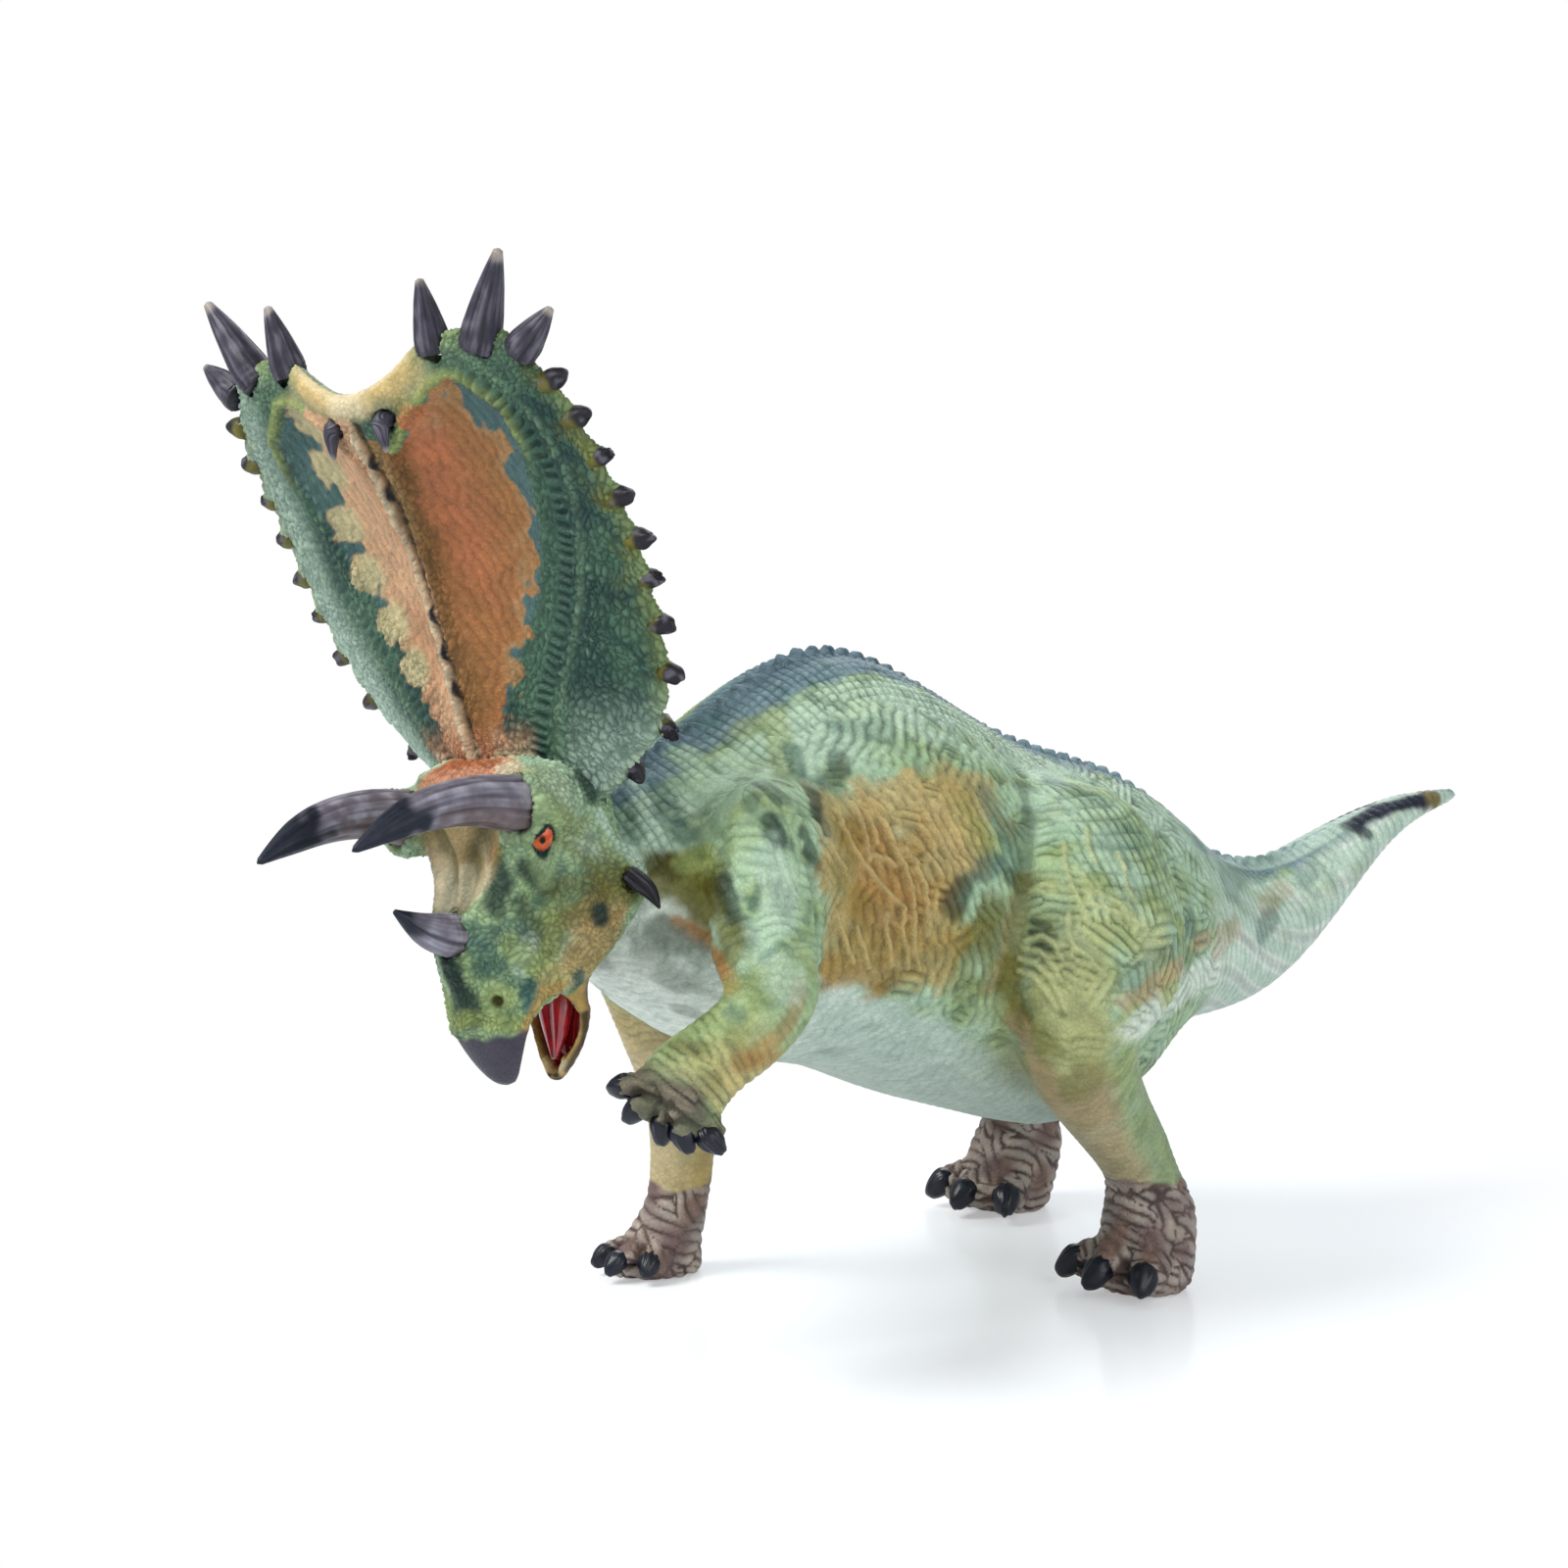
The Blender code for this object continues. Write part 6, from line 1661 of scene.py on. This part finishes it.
def add_studs():
    shape, shape_faces = rounded_cone(1.5)
    for word, side in (("left", 1), ("right", -1)):
        points, faces, shares = [], [], []
        for i, up in enumerate(STUD_PLACES):
            here = body_to_head(frill_point(up, side))
            along = body_to_head(frill_point(up + 0.02, side)) - body_to_head(frill_point(up - 0.02, side))
            along /= np.linalg.norm(along)
            out = np.cross((0.0, side, 0.0), along)
            out /= np.linalg.norm(out)
            across = np.cross(along, out)
            size = 1 - 0.12 * (i % 3 == 1)
            wobble = 1 + 0.06 * waves(shape, 0.9, 80 + i)[:, None]
            local = shape * wobble * (STUD_RADIUS * size, STUD_RADIUS * size, STUD_HEIGHT * size)
            faces += [tuple(len(shape) * i + corner for corner in face) for face in shape_faces]
            points.append(here - out * (STUD_HEIGHT / 2 - STUD_PROUD - 0.9) + local @ np.stack((along, across, out)))
            shares.append(shape[:, 2])
        points, shares = np.concatenate(points), np.concatenate(shares)
        mesh = new_mesh(f"frill_studs_{word}", head_to_body(points), faces)
        cloud = waves(points, 1.6, 91)
        colour = mix(linear("olive"), linear("horn dark"), ease(-0.15, 0.25, shares + 0.1 * cloud)[:, None])
        colour = mix(colour, linear("horn"), (ease(0.3, 1.0, cloud) * 0.6)[:, None])
        paint = np.column_stack((colour, np.ones(len(colour))))
        mesh.attributes.new("paint", "FLOAT_COLOR", "POINT").data.foreach_set("color", paint.ravel())
        add_piece(f"frill_studs_{word}", mesh, horn_paint)


# Nails: root and tip of each toe in the layout's axes, and half sizes across, along and through
def toe_tips():
    """Each toe's root and tip, worked out from the same values as the solids' toes."""
    toes = []
    for name, foot, side, radius, toe_radius, places in (
        ("hind_left", (21.5, 26.5), 1, 7.2, 2.9, ((-1.08, -0.90), (-0.12, -1.20), (0.84, -0.92))),
        ("hind_right", (-23.7, 43.0), -1, 7.2, 2.9, ((-1.08, -0.90), (-0.12, -1.20), (0.84, -0.92))),
        ("fore_right", (-26.2, -16.0), -1, 7.8, 2.2, ((-0.62, -0.76), (-0.12, -1.12), (0.45, -0.94))),
    ):
        for i, (out, forward) in enumerate(places):
            root = np.array((foot[0] + side * out * radius * 0.5, foot[1] + forward * radius * 0.33, toe_radius * 1.4))
            tip = np.array((foot[0] + side * out * radius, foot[1] + forward * radius, toe_radius * 0.9))
            toes.append((f"nail_{name}_{i}", root, tip, toe_radius))
    hand = np.array((24.76, -52.88, 37.80))
    for i, finger in enumerate((
        (-0.85, -0.72, -0.02), (-0.45, -0.72, -0.42), (0.00, -0.42, -0.74), (0.40, -0.22, -0.84), (0.75, 0.14, -0.86),
    )):
        tip = hand + np.array(finger) * 7.0
        toes.append((f"nail_hand_{i}", hand, tip, 2.3))
    return toes


def add_nails():
    for i, (name, root, tip, radius) in enumerate(toe_tips()):
        hand = "hand" in name
        out = tip - root
        out /= np.linalg.norm(out)
        up = np.array((0.0, 0.0, 1.0)) if not hand else np.array((0.0, -0.7, 0.4))
        up = up - out * (up @ out)
        up /= np.linalg.norm(up)
        across = np.cross(out, up)
        bm = bmesh.new()
        bmesh.ops.create_uvsphere(bm, u_segments=32, v_segments=24, radius=1)
        ball = np.array([vertex.co for vertex in bm.verts])
        faces = [[vertex.index for vertex in face.verts] for face in bm.faces]
        bm.free()
        # Local axes: 0 across, 1 outwards, 2 up
        reach = ball[:, 1]
        narrow = 1 - 0.30 * ease(0.0, 1.0, reach)
        local = ball * (0.70 * radius, 0.92 * radius, 0.64 * radius)
        local[:, 0] *= narrow
        local[:, 2] += -0.30 * radius * ease(-0.2, 1.0, reach) + 0.10 * radius
        local *= (1 + 0.035 * waves(ball, 0.55, 100 + i, (1, 0, 0.2), 0.25))[:, None]
        points = tip - out * (TOE_SHORTER * 0.9) + up * (0.16 * radius) + local @ np.stack((across, out, up))
        if not hand:
            points[:, 2] = np.maximum(points[:, 2], 0.12)
        mesh = new_mesh(name, points, faces)
        add_piece(name, mesh, nail_paint)


def add_tongue():
    """The tongue lies in the lower jaw: broad at the root, pointed, with a groove down the middle."""
    rings, sides = 40, 40
    track = curve_through((
        (0.0, 1.4, -16.5, 2.6), (0.0, 0.2, -18.5, 2.9), (0.0, -0.2, -21.5, 2.5), (0.0, -0.5, -24.5, 1.6), (0.0, -1.2, -26.9, 0.4),
    ), rings)
    points, faces = [], []
    for i, (x, back, up, half) in enumerate(track):
        for j in range(sides):
            turn = 2 * math.pi * j / sides
            ahead = math.cos(turn)
            groove = 0.30 * math.exp(-(math.sin(turn) / 0.22) ** 2) if ahead > 0 else 0.0
            points.append((x + half * math.sin(turn), back - half * (0.62 * ahead - groove), up))
    for i in range(rings - 1):
        for j in range(sides):
            k = (j + 1) % sides
            faces.append((i * sides + j, i * sides + k, (i + 1) * sides + k, (i + 1) * sides + j))
    faces.append(tuple(range(sides))[::-1])
    faces.append(tuple((rings - 1) * sides + j for j in range(sides)))
    mesh = new_mesh("tongue_soft", head_to_body(points), faces)
    add_piece("tongue_soft", mesh, tongue_paint, ("tongue",))


# Light, floor and camera
def studio():
    scene = bpy.context.scene
    scene.view_settings.view_transform = "Standard"
    world = bpy.data.worlds.new("studio")
    scene.world = world
    world.use_nodes = True
    nodes, links = world.node_tree.nodes, world.node_tree.links
    light = nodes["Background"]
    light.inputs["Color"].default_value = (0.93, 0.965, 1.0, 1)
    light.inputs["Strength"].default_value = 0.46
    white = nodes.new("ShaderNodeBackground")
    path = nodes.new("ShaderNodeLightPath")
    plain = nodes.new("ShaderNodeMath")
    plain.operation = "MAXIMUM"
    links.new(path.outputs["Is Camera Ray"], plain.inputs[0])
    links.new(path.outputs["Is Transmission Ray"], plain.inputs[1])
    choice = nodes.new("ShaderNodeMixShader")
    links.new(plain.outputs[0], choice.inputs[0])
    links.new(light.outputs[0], choice.inputs[1])
    links.new(white.outputs[0], choice.inputs[2])
    white.inputs["Color"].default_value = (1, 1, 1, 1)
    links.new(choice.outputs[0], nodes["World Output"].inputs["Surface"])

    for name, place, size, power, colour in LAMPS:
        lamp = bpy.data.lights.new(name, "AREA")
        lamp.size = size * MM
        lamp.energy = power
        lamp.color = colour
        obj = bpy.data.objects.new(name, lamp)
        scene.collection.objects.link(obj)
        obj.location = (Vector(place) + Vector(LAYOUT_ORIGIN)) * MM
        aim = Vector(VIEW_TARGET) - Vector(place)
        obj.rotation_euler = aim.to_track_quat("-Z", "Y").to_euler()

    camera = bpy.data.cameras.new("camera")
    camera.lens = LENS
    camera.sensor_width = SENSOR
    camera.clip_start = 0.01
    obj = bpy.data.objects.new("camera", camera)
    scene.collection.objects.link(obj)
    obj.location = (Vector(photo.eye) + Vector(LAYOUT_ORIGIN)) * MM
    obj.rotation_euler = Vector(photo.ahead).to_track_quat("-Z", "Y").to_euler()
    scene.camera = obj
    add_floor()


# Each row: name, place, size, power, colour
LAMPS = (
    ("key", (-160, -460, 560), 360, 5.0, (1.0, 0.99, 0.97)),
    ("side", (560, -60, 260), 480, 1.8, (0.97, 0.985, 1.0)),
    ("rear", (-380, 420, 420), 420, 1.5, (0.97, 0.985, 1.0)),
)
FLOOR_SIZE = 6.0


def add_floor():
    """A pale floor that keeps its shadows near the figure and fades to white away from it."""
    mesh = bpy.data.meshes.new("floor")
    bm = bmesh.new()
    bmesh.ops.create_grid(bm, x_segments=8, y_segments=8, size=FLOOR_SIZE / 2)
    bm.to_mesh(mesh)
    bm.free()
    material, nodes, links, shader = new_material("floor_white")
    shader.inputs["Base Color"].default_value = (0.69, 0.72, 0.76, 1)
    shader.inputs["Roughness"].default_value = 0.16
    shader.inputs["Specular IOR Level"].default_value = 0.25
    glow, white = nodes.new("ShaderNodeEmission"), nodes.new("ShaderNodeEmission")
    path = nodes.new("ShaderNodeLightPath")
    seen = nodes.new("ShaderNodeMapRange")
    links.new(path.outputs["Is Camera Ray"], seen.inputs["Value"])
    seen.inputs["To Min"].default_value = FLOOR_BOUNCE
    seen.inputs["To Max"].default_value = FLOOR_GLOW
    links.new(seen.outputs[0], glow.inputs["Strength"])
    total = nodes.new("ShaderNodeAddShader")
    links.new(shader.outputs[0], total.inputs[0])
    links.new(glow.outputs[0], total.inputs[1])
    length = nodes.new("ShaderNodeVectorMath")
    length.operation = "LENGTH"
    links.new(nodes.new("ShaderNodeTexCoord").outputs["Object"], length.inputs[0])
    fade = nodes.new("ShaderNodeMath")
    fade.operation = "MULTIPLY"
    links.new(ramp(nodes, links, length.outputs["Value"], *FLOOR_FADE), fade.inputs[0])
    links.new(path.outputs["Is Camera Ray"], fade.inputs[1])
    choice = nodes.new("ShaderNodeMixShader")
    links.new(fade.outputs[0], choice.inputs[0])
    links.new(total.outputs[0], choice.inputs[1])
    links.new(white.outputs[0], choice.inputs[2])
    links.new(choice.outputs[0], nodes["Material Output"].inputs["Surface"])
    mesh.materials.append(material)
    obj = bpy.data.objects.new("floor", mesh)
    obj.location = (0, 0, -0.0001)
    bpy.context.scene.collection.objects.link(obj)


# How strongly the floor shines of itself towards the camera and towards the figure
FLOOR_GLOW = 0.35
FLOOR_BOUNCE = 0.16
# The radii between which the floor fades to white, in metres
FLOOR_FADE = (0.065, 0.145)

skin_paint = skin_material("skin_paint", 0.80, 0.045, 0.46)
head_paint = skin_material("head_paint", 0.75, 0.035, 0.44, wet=True)
frill_paint = skin_material("frill_paint", 0.70, 0.04, 0.46)
horn_paint = gloss_material("horn_paint", "horn", 0.42, 0.05, painted=True)
nail_paint = gloss_material("nail_paint", "nail", 0.34, 0.2)
eye_paint = gloss_material("eye_paint", "eye orange", 0.10, 1.0, painted=True)
tongue_paint = gloss_material("tongue_paint", "tongue", 0.12, 1.0)
build_body(skin_paint)
build_frill(frill_paint)
build_head(head_paint)
build_horns()
add_studs()
add_nails()
add_tongue()
studio()
